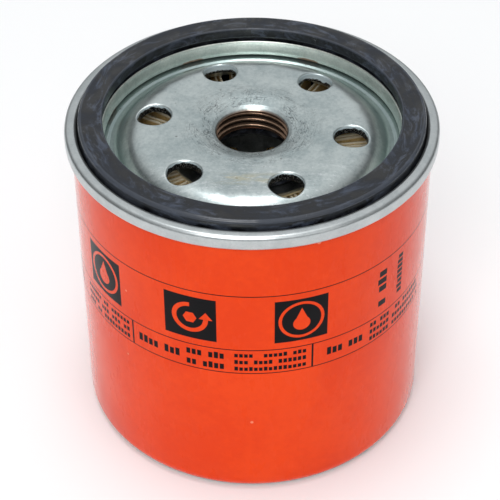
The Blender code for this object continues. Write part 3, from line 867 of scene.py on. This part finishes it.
# %% Make the lid
LID_WALL = 0.45 * MM
SEAM_HEIGHT = 3.35 * MM
LIP_TOP_R, LIP_TOP_Z = 30.85 * MM, TOTAL_H - 3.6 * MM
LIP_FOOT_R = 30.45 * MM
CHANNEL_OUT_R = 35.5 * MM
TUCK_R = 37.0 * MM                          # where the rim ends, under the can's flare
GASKET_SEAT = 0.3 * MM                      # the channel lies this far below the gasket


def seam_ripple(angle, r, z):
    """Rolling leaves the outer band a few hundredths of a millimetre out of round."""
    outer = np.clip((r - (SEAM_R - 1.5 * MM)) / (1.0 * MM), 0, 1)
    wave = np.sin(angle * 9.0 + 0.7) + 0.7 * np.sin(angle * 23.0 + 2.1) - 1.7
    return outer * wave * 0.008 * MM, outer * 0.0


def make_lid():
    lid_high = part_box("seaming_lid")[1]
    seam_foot_z = lid_high.z - SEAM_HEIGHT
    channel_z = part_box("sealing_gasket")[0].z - GASKET_SEAT
    corners = [
        (LIP_TOP_R, LIP_TOP_Z, 0.0),
        (LIP_FOOT_R, channel_z, 0.55 * MM),
        (CHANNEL_OUT_R, channel_z, 0.5 * MM),
        (CHANNEL_OUT_R, lid_high.z + 0.02 * MM, 0.75 * MM),
        (SEAM_R, lid_high.z - 0.3 * MM, 0.95 * MM),
        (SEAM_R, seam_foot_z, 0.75 * MM),
        (TUCK_R, seam_foot_z, 0.0),
    ]
    path = divided(filleted(corners), 1.0 * MM)
    return turned("seam_lid", pressed(path, LID_WALL), ripple=seam_ripple)


dress(make_lid(), "seaming_lid", "housing", LID_ZINC)

# %% [markdown]
# ## The gasket
# A moulded ring of nitrile rubber, satin black, stepped inside to fit over the lid's lip. Rubber
# that has lain in a box takes up oil and dust: oily patches are glossier, dusty ones are dull and a
# little blue, the blue partly dust and partly a painted bluish sheen, and both are drawn out along
# the ring by wiping.

# %% Make the gasket and its rubber
RUBBER_BLACK = (0.002, 0.002, 0.003)
BLUE_DUST_AND_SHEEN = (0.080, 0.098, 0.140)
# paler edge tone: partly wear, partly a painted edge highlight
RUBBER_EDGE_WEAR_AND_HIGHLIGHT = (0.07, 0.08, 0.10)
LINT = (0.20, 0.21, 0.23)


def make_rubber_material(name, light, dull):
    """Black rubber. `light` is its paler tone and `dull` its mean roughness."""
    material, nodes, shader = new_material(name)
    smudge = nodes.noise(0.11, 5.0, 0.62, None, 1.4)
    polar = nodes.vector(nodes.math("MULTIPLY", nodes.angle(), 12.0), nodes.radius(), nodes.xyz()[2])
    streak = nodes.noise(0.4, 4.0, 0.6, polar, 0.5)
    mix = nodes.math("MULTIPLY_ADD", streak, 0.4, nodes.math("MULTIPLY", smudge, 0.6))
    colour = nodes.blend(nodes.ramp(mix, 0.42, 0.60), RUBBER_BLACK, light)
    # blue patches: partly dust, partly a painted bluish sheen
    dust_and_sheen = nodes.ramp(nodes.noise(0.32, 7.0, 0.75, polar, 1.2), 0.50, 0.64)
    colour = nodes.blend(nodes.math("MULTIPLY", dust_and_sheen, 0.5), colour, BLUE_DUST_AND_SHEEN)
    # convex edges made paler: partly wear, partly a painted edge highlight
    worn = nodes.math("MULTIPLY", nodes.attribute("edge"), nodes.noise(0.6, 4.0, 0.7))
    colour = nodes.blend(nodes.ramp(worn, 0.08, 0.5, 0.0, 0.5), colour, RUBBER_EDGE_WEAR_AND_HIGHLIGHT)
    lint = nodes.group(SCRATCHES, Place=nodes.mm(), Density=0.42, Width=0.014).outputs[0]
    colour = nodes.blend(nodes.math("MULTIPLY", lint, 0.5), colour, LINT)
    nodes.put(shader.inputs["Base Color"], colour)
    nodes.put(shader.inputs["Roughness"], nodes.ramp(mix, 0.38, 0.62, dull - 0.12, dull + 0.14))
    shader.inputs["Specular IOR Level"].default_value = 0.20
    shader.inputs["Coat Roughness"].default_value = 0.24
    shader.inputs["Coat IOR"].default_value = 1.4
    nodes.put(shader.inputs["Coat Weight"], nodes.ramp(mix, 0.40, 0.58, 0.85, 0.0))
    grain = nodes.math("ADD", nodes.noise(2.6, 3.0, 0.6), nodes.math("MULTIPLY", streak, 1.2))
    nodes.put(shader.inputs["Normal"], nodes.bump(grain, 0.035, 0.55))
    return material


BORE_STEP_R = 31.3 * MM                     # below the step the bore is wider, to clear the lip
GASKET_BORE_R = 30.3 * MM
STEP_DEPTH = 2.3 * MM


def gasket_ripple(angle, r, z):
    """The free upper edges wander a little, as on any soft ring pressed in by hand."""
    free = np.clip((z - (TOTAL_H - 2.6 * MM)) / (2.0 * MM), 0, 1)
    inner = r < 33.0 * MM
    wave = np.sin(angle * 3.0 + 1.0) + 0.6 * np.sin(angle * 7.0 + 0.4) + 0.35 * np.sin(angle * 17.0)
    return free * np.where(inner, 0.07, 0.03) * wave * MM, free * 0.0


def make_gasket():
    """A closed section with six corners: a plain block outside, and a step inside."""
    low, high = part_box("sealing_gasket")
    corners = [
        (GASKET_R, high.z, 0.75 * MM),
        (GASKET_R, low.z, 0.4 * MM),
        (BORE_STEP_R, low.z, 0.4 * MM),
        (BORE_STEP_R, high.z - STEP_DEPTH, 0.15 * MM),
        (GASKET_BORE_R, high.z - STEP_DEPTH, 0.25 * MM),
        (GASKET_BORE_R, high.z, 0.35 * MM),
    ]
    path = filleted(corners, closed=True)
    return turned("gasket_ring", divided(np.concatenate([path, path[:1]]), 0.8 * MM)[:-1],
                  ripple=gasket_ripple)


GASKET_RUBBER = make_rubber_material("gasket_rubber", (0.024, 0.027, 0.034), 0.40)
dress(make_gasket(), "sealing_gasket", "housing", GASKET_RUBBER)

# %% [markdown]
# ## The base plate
# The plate is a stamping two millimetres thick with six punched holes and a collar drawn down for
# the thread. A turned profile can't hold the holes, so the plate is three surfaces that share their
# border points: the hub with its thread, six sectors with one hole each, and the outer part.
# A sector's grid runs from its border, over the hole's rounded edge, down the punched wall and back
# along the underside. The face is flat only inside 21 mm: it rolls down over a wide shoulder into a
# moat beside the lid, so both sheets of the sectors sink with the shoulder's own arcs.
# The thread is a field: the bore's radius depends on angle and height.

# %% Plate geometry
SECTOR_IN_R = 15.0 * MM
SECTOR_OUT_R = 24.4 * MM
HOLE_R = 3.5 * MM
HOLE_CIRCLE_R = 20.35 * MM
FIRST_HOLE = math.radians(-11.0)
HOLES = 6
SIDE = 32                                   # border steps on each side of a sector
PLATE_ROUND = HOLES * SIDE
PLATE_WALL = 2.0 * MM
PLATE_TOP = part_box("base_plate")[1].z
FACE_R = 21.0 * MM                          # the face is flat inside this radius
SHOULDER_R = 7.0 * MM
SLOPE_END = math.radians(48.0)
PLATE_UNDER = PLATE_TOP - PLATE_WALL
COLLAR_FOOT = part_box("base_plate")[0].z
COLLAR_R = 9.2 * MM
BORE_R = 7.2 * MM
DIP_R = 11.2 * MM                           # the face dips towards the thread inside this radius
MOAT_IN_R, MOAT_OUT_R = 28.5 * MM, 29.15 * MM
MOAT_FILLET = 1.6 * MM
MOAT_DEPTH = 0.3 * MM                       # below the flange that the lid is welded to
FLANGE_IN_R = 29.65 * MM
FLANGE_BELOW_GASKET = 1.05 * MM
PITCH = 1.5 * MM
THREAD_DEPTH = 0.541 * PITCH


def sag(r, radius):
    """Drop of a rounded shoulder at r: radius - sqrt(radius^2 - (r - FACE_R)^2), zero on the face."""
    over = np.clip(r - FACE_R, 0, radius)
    return radius - np.sqrt(radius ** 2 - over ** 2)


def arc(centre_r, centre_z, radius, start, end, steps=10):
    """Points (r, z) of an arc between two angles."""
    angle = np.linspace(start, end, steps + 1)
    return np.stack([centre_r + radius * np.cos(angle), centre_z + radius * np.sin(angle)], 1)


def sector_border():
    """Points round one sector, clockwise seen from above, as (radius, angle from its middle)."""
    half = math.pi / HOLES
    step = np.arange(SIDE) / SIDE
    span = SECTOR_OUT_R - SECTOR_IN_R
    radius = [np.full(SIDE, SECTOR_IN_R), SECTOR_IN_R + span * step,
              np.full(SIDE, SECTOR_OUT_R), SECTOR_OUT_R - span * step]
    angle = [-half + 2 * half * step, np.full(SIDE, half), half - 2 * half * step,
             np.full(SIDE, -half)]
    return np.concatenate(radius), np.concatenate(angle)


def sectors():
    """Points and quads of the six sectors. Row by row, a border point moves straight towards the
    hole's rim in its own direction from the hole's middle, then follows the hole's section."""
    radius, angle = sector_border()
    border = np.stack([radius * np.cos(angle), radius * np.sin(angle)], 1)
    middle = np.array([HOLE_CIRCLE_R, 0.0])
    outward = border - middle
    outward /= np.linalg.norm(outward, axis=1, keepdims=True)
    top_round, low_round = 0.45 * MM, 0.2 * MM
    quarter = np.linspace(0, math.pi / 2, 8)
    section = [
        np.stack([HOLE_R + top_round - top_round * np.sin(quarter),
                  PLATE_TOP - top_round + top_round * np.cos(quarter)], 1),
        np.stack([np.full(6, HOLE_R),
                  np.linspace(PLATE_TOP - top_round, PLATE_UNDER + low_round, 8)[1:-1]], 1),
        np.stack([HOLE_R + low_round - low_round * np.cos(quarter[::2]),
                  PLATE_UNDER + low_round - low_round * np.sin(quarter[::2])], 1),
    ]
    section = np.concatenate(section)
    rows = [np.concatenate([border, np.full((len(border), 1), PLATE_TOP)], 1)]
    rim = middle + outward * section[0, 0]
    for share in (0.3, 0.6, 0.85):
        point = border + (rim - border) * share
        rows.append(np.concatenate([point, np.full((len(border), 1), PLATE_TOP)], 1))
    for hole_r, height in section:
        point = middle + outward * hole_r
        rows.append(np.concatenate([point, np.full((len(border), 1), height)], 1))
    rim = middle + outward * section[-1, 0]
    for share in (0.5, 1.0):
        point = rim + (border - rim) * share
        rows.append(np.concatenate([point, np.full((len(border), 1), PLATE_UNDER)], 1))
    flat = np.array(rows)
    share = (flat[..., 2] - PLATE_UNDER) / PLATE_WALL
    r = np.hypot(flat[..., 0], flat[..., 1])
    flat[..., 2] -= share * sag(r, SHOULDER_R) + (1 - share) * sag(r, SHOULDER_R - PLATE_WALL)
    depth = 1 - share[:, 0]
    punched = np.where(depth > 0.12, depth, 0)
    punched[-3:] = 0
    quads = grid_quads(len(rows), len(border), False, True)
    points, faces, marks = [], [], []
    for hole in range(HOLES):
        turn = FIRST_HOLE + hole * math.tau / HOLES
        x = flat[..., 0] * math.cos(turn) - flat[..., 1] * math.sin(turn)
        y = flat[..., 0] * math.sin(turn) + flat[..., 1] * math.cos(turn)
        faces.append(quads + sum(len(p) for p in points))
        points.append(np.stack([x, y, flat[..., 2]], 2).reshape(-1, 3))
        marks.append(np.repeat(punched, len(border)))
    return np.concatenate(points), np.concatenate(faces), np.concatenate(marks)


def round_part(r, z):
    """Points and quads of an open turned surface on the plate's own angles."""
    angle = FIRST_HOLE - math.pi / HOLES + np.arange(PLATE_ROUND) * math.tau / PLATE_ROUND
    points = np.stack([r * np.cos(angle), r * np.sin(angle), z], 2).reshape(-1, 3)
    return points, grid_quads(len(r), PLATE_ROUND, False, True)


def thread_radius(angle, height):
    """Radius of the bore. A right-hand groove climbs one pitch for each turn; its section is the
    standard 60 degree vee, flat at crest and root, and it fades out towards both ends."""
    turns = height / PITCH - angle / math.tau
    off = np.abs(turns - np.floor(turns) - 0.5) * PITCH
    flank = THREAD_DEPTH * math.tan(math.radians(30.0))
    cut = np.clip((PITCH / 16.0 + flank - off) / flank, 0, 1)
    fade = np.clip((height - COLLAR_FOOT) / (0.6 * MM), 0, 1) * np.clip(
        (PLATE_TOP - 1.3 * MM - height) / (0.35 * MM), 0, 1)
    return BORE_R + THREAD_DEPTH * cut * fade


def hub():
    """Underside, collar, threaded bore and the dip around its mouth."""
    under = filleted([(SECTOR_IN_R, PLATE_UNDER, 0.0), (COLLAR_R, PLATE_UNDER, 2.0 * MM),
                      (COLLAR_R, COLLAR_FOOT, 0.3 * MM), (BORE_R + 0.5 * MM, COLLAR_FOOT, 0.0),
                      (BORE_R, COLLAR_FOOT + 0.4 * MM, 0.0)])
    mouth = filleted([(BORE_R, PLATE_TOP - 1.65 * MM, 0.0),
                      (7.55 * MM, PLATE_TOP - 1.25 * MM, 0.1 * MM),
                      (8.2 * MM, PLATE_TOP - 0.85 * MM, 0.9 * MM), (DIP_R, PLATE_TOP, 5.0 * MM),
                      (SECTOR_IN_R, PLATE_TOP, 0.0)], steps=10)
    under, mouth = divided(under, 0.6 * MM), divided(mouth, 1.0 * MM)
    bore_z = np.linspace(under[-1, 1], mouth[0, 1], 84)[1:-1]
    rows = len(under) + len(bore_z) + len(mouth)
    z = np.concatenate([under[:, 1], bore_z, mouth[:, 1]])[:, None] * np.ones(PLATE_ROUND)
    r = np.concatenate([under[:, 0], np.full(len(bore_z), BORE_R), mouth[:, 0]])
    r = r[:, None] * np.ones(PLATE_ROUND)
    angle = np.arange(PLATE_ROUND)[None, :] * math.tau / PLATE_ROUND
    bore = slice(len(under), len(under) + len(bore_z))
    r[bore] = thread_radius(angle, z[bore])
    mark = np.zeros(rows)
    mark[len(under) - 1:len(under) + len(bore_z) + 1] = 1.0
    points, quads = round_part(r, z)
    return points, quads, np.repeat(mark, PLATE_ROUND)


def outer_part():
    """From the face over the wide shoulder, down into the moat, up to the flange, round its edge
    and back underneath at the plate's thickness."""
    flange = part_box("sealing_gasket")[0].z - FLANGE_BELOW_GASKET
    moat = flange - MOAT_DEPTH
    slope = math.pi / 2 - SLOPE_END
    low_r = SHOULDER_R - PLATE_WALL
    over = SECTOR_OUT_R - FACE_R
    rim = filleted([
        (MOAT_IN_R + 0.1 * MM, moat, 0.0),
        (MOAT_OUT_R, moat, 0.35 * MM),
        (FLANGE_IN_R, flange, 0.35 * MM),
        (PLATE_R, flange, 0.2 * MM),
        (PLATE_R, flange - PLATE_WALL, 0.3 * MM),
        (FLANGE_IN_R, flange - PLATE_WALL, 0.3 * MM),
        (MOAT_OUT_R, moat - PLATE_WALL, 0.3 * MM),
        (MOAT_IN_R + 0.1 * MM, moat - PLATE_WALL, 0.0),
    ])
    path = np.concatenate([
        arc(FACE_R, PLATE_TOP - SHOULDER_R, SHOULDER_R, math.acos(over / SHOULDER_R), slope),
        arc(MOAT_IN_R, moat + MOAT_FILLET, MOAT_FILLET, math.pi + slope, 1.5 * math.pi),
        rim,
        arc(MOAT_IN_R, moat + MOAT_FILLET, MOAT_FILLET + PLATE_WALL, 1.5 * math.pi, math.pi + slope),
        arc(FACE_R, PLATE_TOP - SHOULDER_R, low_r, slope, math.acos(over / low_r)),
    ])
    path = divided(path, 1.0 * MM)
    r = path[:, :1] * np.ones(PLATE_ROUND)
    z = path[:, 1:] * np.ones(PLATE_ROUND)
    points, quads = round_part(r, z)
    return points, quads, np.zeros(len(points))


def make_plate():
    """Hub, sectors and outer part in one mesh. Its attribute `thread` is 1 in the bore, and
    `punched` is the depth down a hole's wall, from 0 to 1."""
    parts = [hub(), sectors(), outer_part()]
    starts = np.cumsum([0] + [len(p[0]) for p in parts])
    points = np.concatenate([p[0] for p in parts])
    quads = np.concatenate([p[1] + start for p, start in zip(parts, starts)])
    thread = np.concatenate([parts[0][2], np.zeros(len(points) - len(parts[0][2]))])
    punched = np.concatenate([np.zeros(len(parts[0][0])), parts[1][2], parts[2][2]])
    return mesh_from("plate_stamping", points, quads, thread=thread, punched=punched)


PLATE = make_plate()
print(f"plate: {len(PLATE.data.vertices)} points, thread pitch {PITCH / MM:.1f} mm")

# %% [markdown]
# ## The plate's finish
# Three surfaces meet on the plate. The face is cloudy zinc with scuffs left by a nipple: some run
# round the thread's mouth, so one noise is read in polar coordinates, and some cross it. It has hair
# scratches, small nicks whose near-white is partly a painted glint, and a dried fuel stain too. Its
# moat is green and darker, partly a passivation tint and partly a painted reflection of the lid's lip.
# A punch leaves a hole's wall smooth at first and then tears it: the smooth band is pale blue, partly
# a painted reflection, and the holes at the back show more of it; the torn part is black with bright
# grains, and starts at a ragged line. The thread was cut after plating and is brown with oil, with
# painted shade in its roots.

# %% Zinc, scuffs and oiled thread
ZINC_DARK, ZINC_LIGHT = (0.35, 0.41, 0.415), (0.56, 0.61, 0.60)
MOAT_TINT_AND_REFLECTION = (0.30, 0.39, 0.38)
SCUFF = (0.05, 0.055, 0.06)
HAIR = (0.16, 0.18, 0.18)
DIRT = (0.12, 0.12, 0.11)
FUEL_STAIN = (0.40, 0.34, 0.17)
STAIN_X, STAIN_Y = -1.0, -17.8
NICKS_AND_GLINTS = (0.85, 0.87, 0.88)
SHEARED_AND_REFLECTION = (0.60, 0.71, 0.74)
TORN_DARK, TORN_GRAIN = (0.016, 0.018, 0.020), (0.75, 0.79, 0.80)
BRONZE_DARK, BRONZE_LIGHT = (0.16, 0.095, 0.062), (0.37, 0.245, 0.17)
# painted shade for the thread's roots
ROOT_SHADE = (0.012, 0.009, 0.008)


def make_plate_material():
    """Face, hole walls and thread in one material, told apart by the two attributes."""
    material, nodes, shader = new_material("plate_zinc")
    x, y, z = nodes.xyz()
    radius = nodes.radius()
    angle = nodes.angle()
    cloud = nodes.group(MOTTLE, Place=nodes.mm(), Scale=0.12, Fine=1.5).outputs[0]
    colour = nodes.blend(nodes.ramp(cloud, 0.32, 0.66), ZINC_DARK, ZINC_LIGHT)
    # the moat is greener and darker: partly passivation tint, partly a painted reflection of the lid's olive
    # lip
    moat = nodes.ramp(radius, 26.0, 27.5)
    colour = nodes.blend(nodes.math("MULTIPLY", moat, 0.65), colour, MOAT_TINT_AND_REFLECTION)

    near_hub = nodes.math("MULTIPLY", nodes.ramp(radius, 16.5, 9.0), nodes.ramp(radius, 7.4, 8.4))
    patches = nodes.ramp(nodes.noise(0.16, 2.0), 0.34, 0.48)
    round_hub = nodes.vector(nodes.math("MULTIPLY", angle, 3.6), nodes.math("MULTIPLY", radius, 2.0), 3.0)
    arcs = nodes.group(SCRATCHES, Place=round_hub, Density=0.60, Width=0.035).outputs[0]
    slant = nodes.vector(nodes.math("MULTIPLY_ADD", x, 0.5, nodes.math("MULTIPLY", y, 0.9)),
                         nodes.math("MULTIPLY_ADD", y, -0.3, nodes.math("MULTIPLY", x, 1.5)), 11.0)
    strokes = nodes.group(SCRATCHES, Place=slant, Density=0.58, Width=0.032).outputs[0]
    scuffs = nodes.math("MULTIPLY", nodes.math("MAXIMUM", arcs, strokes), near_hub)
    scuffs = nodes.math("MULTIPLY", scuffs, patches)
    colour = nodes.blend(nodes.math("MULTIPLY", scuffs, 0.95), colour, SCUFF)
    wide = nodes.vector(nodes.math("MULTIPLY", x, 0.8), nodes.math("MULTIPLY", y, 1.5), 23.0)
    hair = nodes.group(SCRATCHES, Place=wide, Density=0.50, Width=0.016).outputs[0]
    colour = nodes.blend(nodes.math("MULTIPLY", hair, 0.35), colour, HAIR)
    dirt = nodes.group(SPECKS, Place=nodes.mm(), Scale=0.33, Size=0.13).outputs[0]
    colour = nodes.blend(nodes.math("MULTIPLY", dirt, 0.55), colour, DIRT)

    flat = nodes.vector(nodes.math("MULTIPLY", x, 0.16), nodes.math("MULTIPLY", y, 0.75), 5.0)
    streak = nodes.noise(1.0, 4.0, 0.6, flat, 0.7)
    stain_at = nodes.math("MULTIPLY", nodes.ramp(off(nodes, y, STAIN_Y), 2.6, 0.4),
                          nodes.ramp(off(nodes, x, STAIN_X), 9.0, 4.0))
    stain = nodes.math("MULTIPLY", nodes.ramp(streak, 0.42, 0.62), stain_at)
    colour = nodes.blend(nodes.math("MULTIPLY", stain, 0.5), colour, FUEL_STAIN)

    nick_at = nodes.vector(nodes.math("MULTIPLY", x, 0.5), nodes.math("MULTIPLY", y, 3.4), 8.0)
    # nicks at the front, painted near-white: partly real nicks, partly painted glints
    nicks_and_glints = nodes.group(SCRATCHES, Place=nick_at, Density=0.53, Width=0.035).outputs[0]
    front = nodes.ramp(y, -8.0, -17.0)
    nicks_and_glints = nodes.math("MULTIPLY", nicks_and_glints, front)
    colour = nodes.blend(nodes.math("MULTIPLY", nicks_and_glints, 0.8), colour, NICKS_AND_GLINTS)

    depth = nodes.attribute("punched")
    punched = nodes.ramp(depth, 0.10, 0.14)
    rip = nodes.math("MULTIPLY_ADD", nodes.noise(0.9, 3.0), 0.7, nodes.math("SUBTRACT", depth, 0.35))
    # holes further back keep more of the pale smooth band: painted reflection
    rip = nodes.math("SUBTRACT", rip, nodes.ramp(y, 4.0, 15.0, -0.06, 0.34))
    rip = nodes.ramp(rip, 0.30, 0.38)
    coarse = nodes.vector(nodes.math("MULTIPLY", x, 1.6), nodes.math("MULTIPLY", y, 1.6), z)
    torn = nodes.noise(3.0, 4.0, 0.75, coarse)
    wall = nodes.blend(nodes.ramp(torn, 0.52, 0.66), TORN_DARK, TORN_GRAIN)
    # the smooth band's pale blue: a real burnished band, partly painted reflection
    wall = nodes.blend(rip, SHEARED_AND_REFLECTION, wall)
    colour = nodes.blend(punched, colour, wall)
    thread = nodes.attribute("thread")
    bronze = nodes.blend(nodes.noise(0.8, 4.0, 0.6), BRONZE_DARK, BRONZE_LIGHT)
    # painted shade: the thread's roots are darkened
    root = nodes.ramp(radius, 7.62, 7.95)
    bronze = nodes.blend(root, bronze, ROOT_SHADE)
    colour = nodes.blend(thread, colour, bronze)
    nodes.put(shader.inputs["Base Color"], colour)

    metal = nodes.math("SUBTRACT", 0.88, nodes.math("MULTIPLY", stain, 0.35))
    smooth_wall = nodes.math("MULTIPLY", punched, nodes.math("SUBTRACT", 1.0, rip))
    metal = nodes.math("MULTIPLY_ADD", smooth_wall, -0.55, metal)
    nodes.put(shader.inputs["Metallic"], metal)
    rough = nodes.math("MULTIPLY_ADD", cloud, 0.18, 0.22)
    rough = nodes.math("MULTIPLY_ADD", scuffs, 0.15, rough)
    rough = nodes.math("MULTIPLY_ADD", thread, -0.12, rough)
    nodes.put(shader.inputs["Roughness"], rough)
    height = nodes.math("ADD", nodes.noise(0.30, 3.0, 0.5), nodes.math("MULTIPLY", cloud, 0.35))
    height = nodes.math("MULTIPLY_ADD", scuffs, -0.6, height)
    ragged = nodes.math("MULTIPLY", torn, nodes.math("MULTIPLY", rip, punched))
    height = nodes.math("MULTIPLY_ADD", ragged, 5.0, height)
    nodes.put(shader.inputs["Normal"], nodes.bump(height, 0.05, 0.5))
    return material


dress(PLATE, "base_plate", "housing", make_plate_material())

# %% [markdown]
# ## The pleated paper
# One strip of resin-treated paper is folded into a ring of 48 deep pleats. One pleat's outline is
# rounded at its folds and repeated round the axis; the strip's thin section, straight up outside,
# over the top edge and down inside, is carried along it. The top edge waves a little where the
# folds were glued, and the fold tips are painted pale: a painted highlight where light falls on them.

# %% Make the pleats
PLEATS = 48
PAPER = 0.4 * MM
FOLD_HALF = 0.55 * MM


def pleat_path():
    """Closed middle line of the strip, anticlockwise, with every fold rounded."""
    _, media_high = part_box("pleated_media")
    tube_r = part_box("center_tube")[1].x
    out_r = media_high.x - PAPER / 2.0
    in_r = tube_r + 0.6 * MM + PAPER / 2.0
    step = math.tau / PLEATS
    corners = []
    for turn, radius, fillet in ((-step / 4.0, in_r, 0.22), (-FOLD_HALF / out_r, out_r, 0.42),
                                 (FOLD_HALF / out_r, out_r, 0.42), (step / 4.0, in_r, 0.22)):
        corners.append((radius * math.cos(turn), radius * math.sin(turn), fillet * MM))
    turned_corners = []
    for pleat in range(PLEATS):
        c, s = math.cos(pleat * step), math.sin(pleat * step)
        turned_corners += [(x * c - y * s, x * s + y * c, f) for x, y, f in corners]
    path = filleted(turned_corners, closed=True, steps=3)
    return divided(np.concatenate([path, path[:1]]), 3.2 * MM)[:-1]


def make_pleats():
    """The strip's section carried along the path: up outside, over the top edge, down inside."""
    low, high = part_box("pleated_media")
    path = pleat_path()
    outward = -side_normals(path, closed=True)
    up = np.linspace(low.z, high.z - 0.25 * MM, 7)
    offset = np.concatenate([np.full(7, 0.5), [0.3, -0.3], np.full(7, -0.5)]) * PAPER
    height = np.concatenate([up, [high.z - 0.12 * MM] * 2, up[::-1]])
    along = np.arange(len(path))[:, None] * 1.0
    wave = 0.06 * MM * (np.sin(along * 0.37) + np.sin(along * 1.13 + 1.0))
    top = (height > high.z - 1.0 * MM)[None, :]
    z = height[None, :] + wave * top
    xy = path[:, None, :] + outward[:, None, :] * offset[None, :, None]
    points = np.concatenate([xy, z[..., None]], 2).reshape(-1, 3)
    return mesh_from("paper_pleats", points, grid_quads(len(path), len(height), True, True))


PAPER_DARK, PAPER_LIGHT = (0.40, 0.26, 0.085), (0.66, 0.46, 0.19)
SOAKED_PAPER = (0.25, 0.17, 0.07)
LIT_TIP_DARK, LIT_TIP_LIGHT = (0.78, 0.70, 0.50), (0.92, 0.86, 0.70)


def make_paper_material():
    """Golden resin-treated paper, fibrous and unevenly soaked, with a painted highlight on the top folds."""
    material, nodes, shader = new_material("filter_paper")
    z = nodes.xyz()[2]
    fibre = nodes.noise(3.0, 5.0, 0.7)
    cloud = nodes.noise(0.25, 3.0)
    colour = nodes.blend(nodes.ramp(fibre, 0.3, 0.7), PAPER_DARK, PAPER_LIGHT)
    colour = nodes.blend(nodes.ramp(cloud, 0.45, 0.75, 0.0, 0.5), colour, SOAKED_PAPER)
    top_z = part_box("pleated_media")[1].z / MM
    # painted highlight: the top folds are paler, as if lit from above
    top = nodes.ramp(z, top_z - 0.7, top_z - 0.2)
    lit_tips = nodes.blend(fibre, LIT_TIP_DARK, LIT_TIP_LIGHT)
    colour = nodes.blend(nodes.math("MULTIPLY", top, 0.9), colour, lit_tips)
    nodes.put(shader.inputs["Base Color"], colour)
    nodes.put(shader.inputs["Roughness"], nodes.ramp(fibre, 0.2, 0.8, 0.75, 0.95))
    nodes.put(shader.inputs["Normal"], nodes.bump(fibre, 0.06, 0.7))
    return material


dress(make_pleats(), "pleated_media", "element", make_paper_material())

# %% [markdown]
# ## Inside pieces
# The tube, caps, ring, clip, cup and seals can hardly be seen, yet they are finished too: tinned
# steel with cloudy mottling and fine pale scratches, cream adhesive, black rubber and seam compound.

# %% Finishes for the inside pieces


def make_tin_material(name, dark, light):
    """Tinned steel between two greys, with cloudy mottling and fine pale scratches."""
    material, nodes, shader = new_material(name)
    cloud = nodes.group(MOTTLE, Place=nodes.mm(), Scale=0.4, Fine=3.0).outputs[0]
    colour = nodes.blend(nodes.ramp(cloud, 0.3, 0.7), dark, light)
    fine = nodes.group(SCRATCHES, Place=nodes.mm(), Density=0.45, Width=0.02).outputs[0]
    colour = nodes.blend(nodes.math("MULTIPLY", fine, 0.4), colour, (0.75, 0.76, 0.76))
    nodes.put(shader.inputs["Base Color"], colour)
    shader.inputs["Metallic"].default_value = 1.0
    nodes.put(shader.inputs["Roughness"], nodes.ramp(cloud, 0.2, 0.8, 0.24, 0.46))
    nodes.put(shader.inputs["Normal"], nodes.bump(cloud, 0.02, 0.5))
    return material


def make_glue_material():
    """Cream adhesive, cast and slightly lumpy."""
    material, nodes, shader = new_material("pleat_adhesive")
    cloud = nodes.noise(0.7, 4.0, 0.6)
    nodes.put(shader.inputs["Base Color"], nodes.blend(cloud, (0.60, 0.47, 0.25), (0.84, 0.74, 0.50)))
    nodes.put(shader.inputs["Roughness"], nodes.ramp(cloud, 0.2, 0.8, 0.35, 0.6))
    nodes.put(shader.inputs["Normal"], nodes.bump(cloud, 0.1, 0.6))
    return material


TIN = make_tin_material("inner_tinplate", (0.36, 0.38, 0.38), (0.58, 0.60, 0.59))
WIRE = make_tin_material("spring_wire", (0.26, 0.27, 0.28), (0.46, 0.47, 0.48))
GLUE = make_glue_material()
SEAL_RUBBER = make_rubber_material("seal_rubber", (0.032, 0.033, 0.036), 0.5)
for node, material in (
    ("seam_compound", SEAL_RUBBER), ("hub_seal", SEAL_RUBBER), ("upper_adhesive_ring", GLUE),
    ("lower_adhesive_disc", GLUE), ("upper_end_ring", TIN), ("lower_end_cap", TIN),
    ("center_tube", TIN), ("media_seam_clip", TIN), ("spring_cup", TIN),
):
    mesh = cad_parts[node].data
    mesh.materials.clear()
    mesh.materials.append(material)
print("9 inside pieces keep their frame shapes")

# %% [markdown]
# ## The support spring
# The spring stands on the can's panel and carries the element. Its wire is a circle carried along a
# helix whose end turns lie almost flat.

# %% Make the spring
SPRING_TURNS = 3.0
END_TURNS = 0.9
END_PITCH = 1.6 * MM


def make_spring():
    """Centre: (R cos t, R sin t, h(t)). h climbs slowly over both end turns and fast between them.
    The ends close in a quarter round to a point."""
    low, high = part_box("support_spring")
    wire = 0.7 * MM
    coil_r = high.x - wire
    length = high.z - low.z - 2.0 * wire
    middle_pitch = (length - 2.0 * END_TURNS * END_PITCH) / (SPRING_TURNS - 2.0 * END_TURNS)
    turn = np.linspace(0, SPRING_TURNS, 260)
    first = np.minimum(turn, END_TURNS)
    last = np.clip(turn - SPRING_TURNS + END_TURNS, 0, None)
    climb = (first + last) * END_PITCH + (turn - first - last) * middle_pitch
    centre = np.stack([coil_r * np.cos(turn * math.tau), coil_r * np.sin(turn * math.tau),
                       low.z + wire + climb], 1)
    size = np.full(len(turn), wire)
    cap = np.sin(np.linspace(0, math.pi / 2, 5))
    size[:5] *= cap
    size[-5:] *= cap[::-1]
    tangent = np.gradient(centre, axis=0)
    tangent /= np.linalg.norm(tangent, axis=1, keepdims=True)
    out = centre * [1, 1, 0]
    out /= np.linalg.norm(out, axis=1, keepdims=True)
    side = np.cross(out, tangent)
    side /= np.linalg.norm(side, axis=1, keepdims=True)
    around = np.arange(16)[None, :, None] * math.tau / 16
    ring = out[:, None] * np.cos(around) + side[:, None] * np.sin(around)
    points = centre[:, None] + ring * size[:, None, None]
    quads = grid_quads(len(turn), 16, False, True)
    return mesh_from("spring_coil", points.reshape(-1, 3), quads)


SPRING = dress(make_spring(), "support_spring", "housing", WIRE)
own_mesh(SPRING)

# %% Write the sizes and finish
low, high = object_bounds()
size = (high - low) / MM
print(f"finished size {size.x:.1f} x {size.y:.1f} x {size.z:.1f} mm")
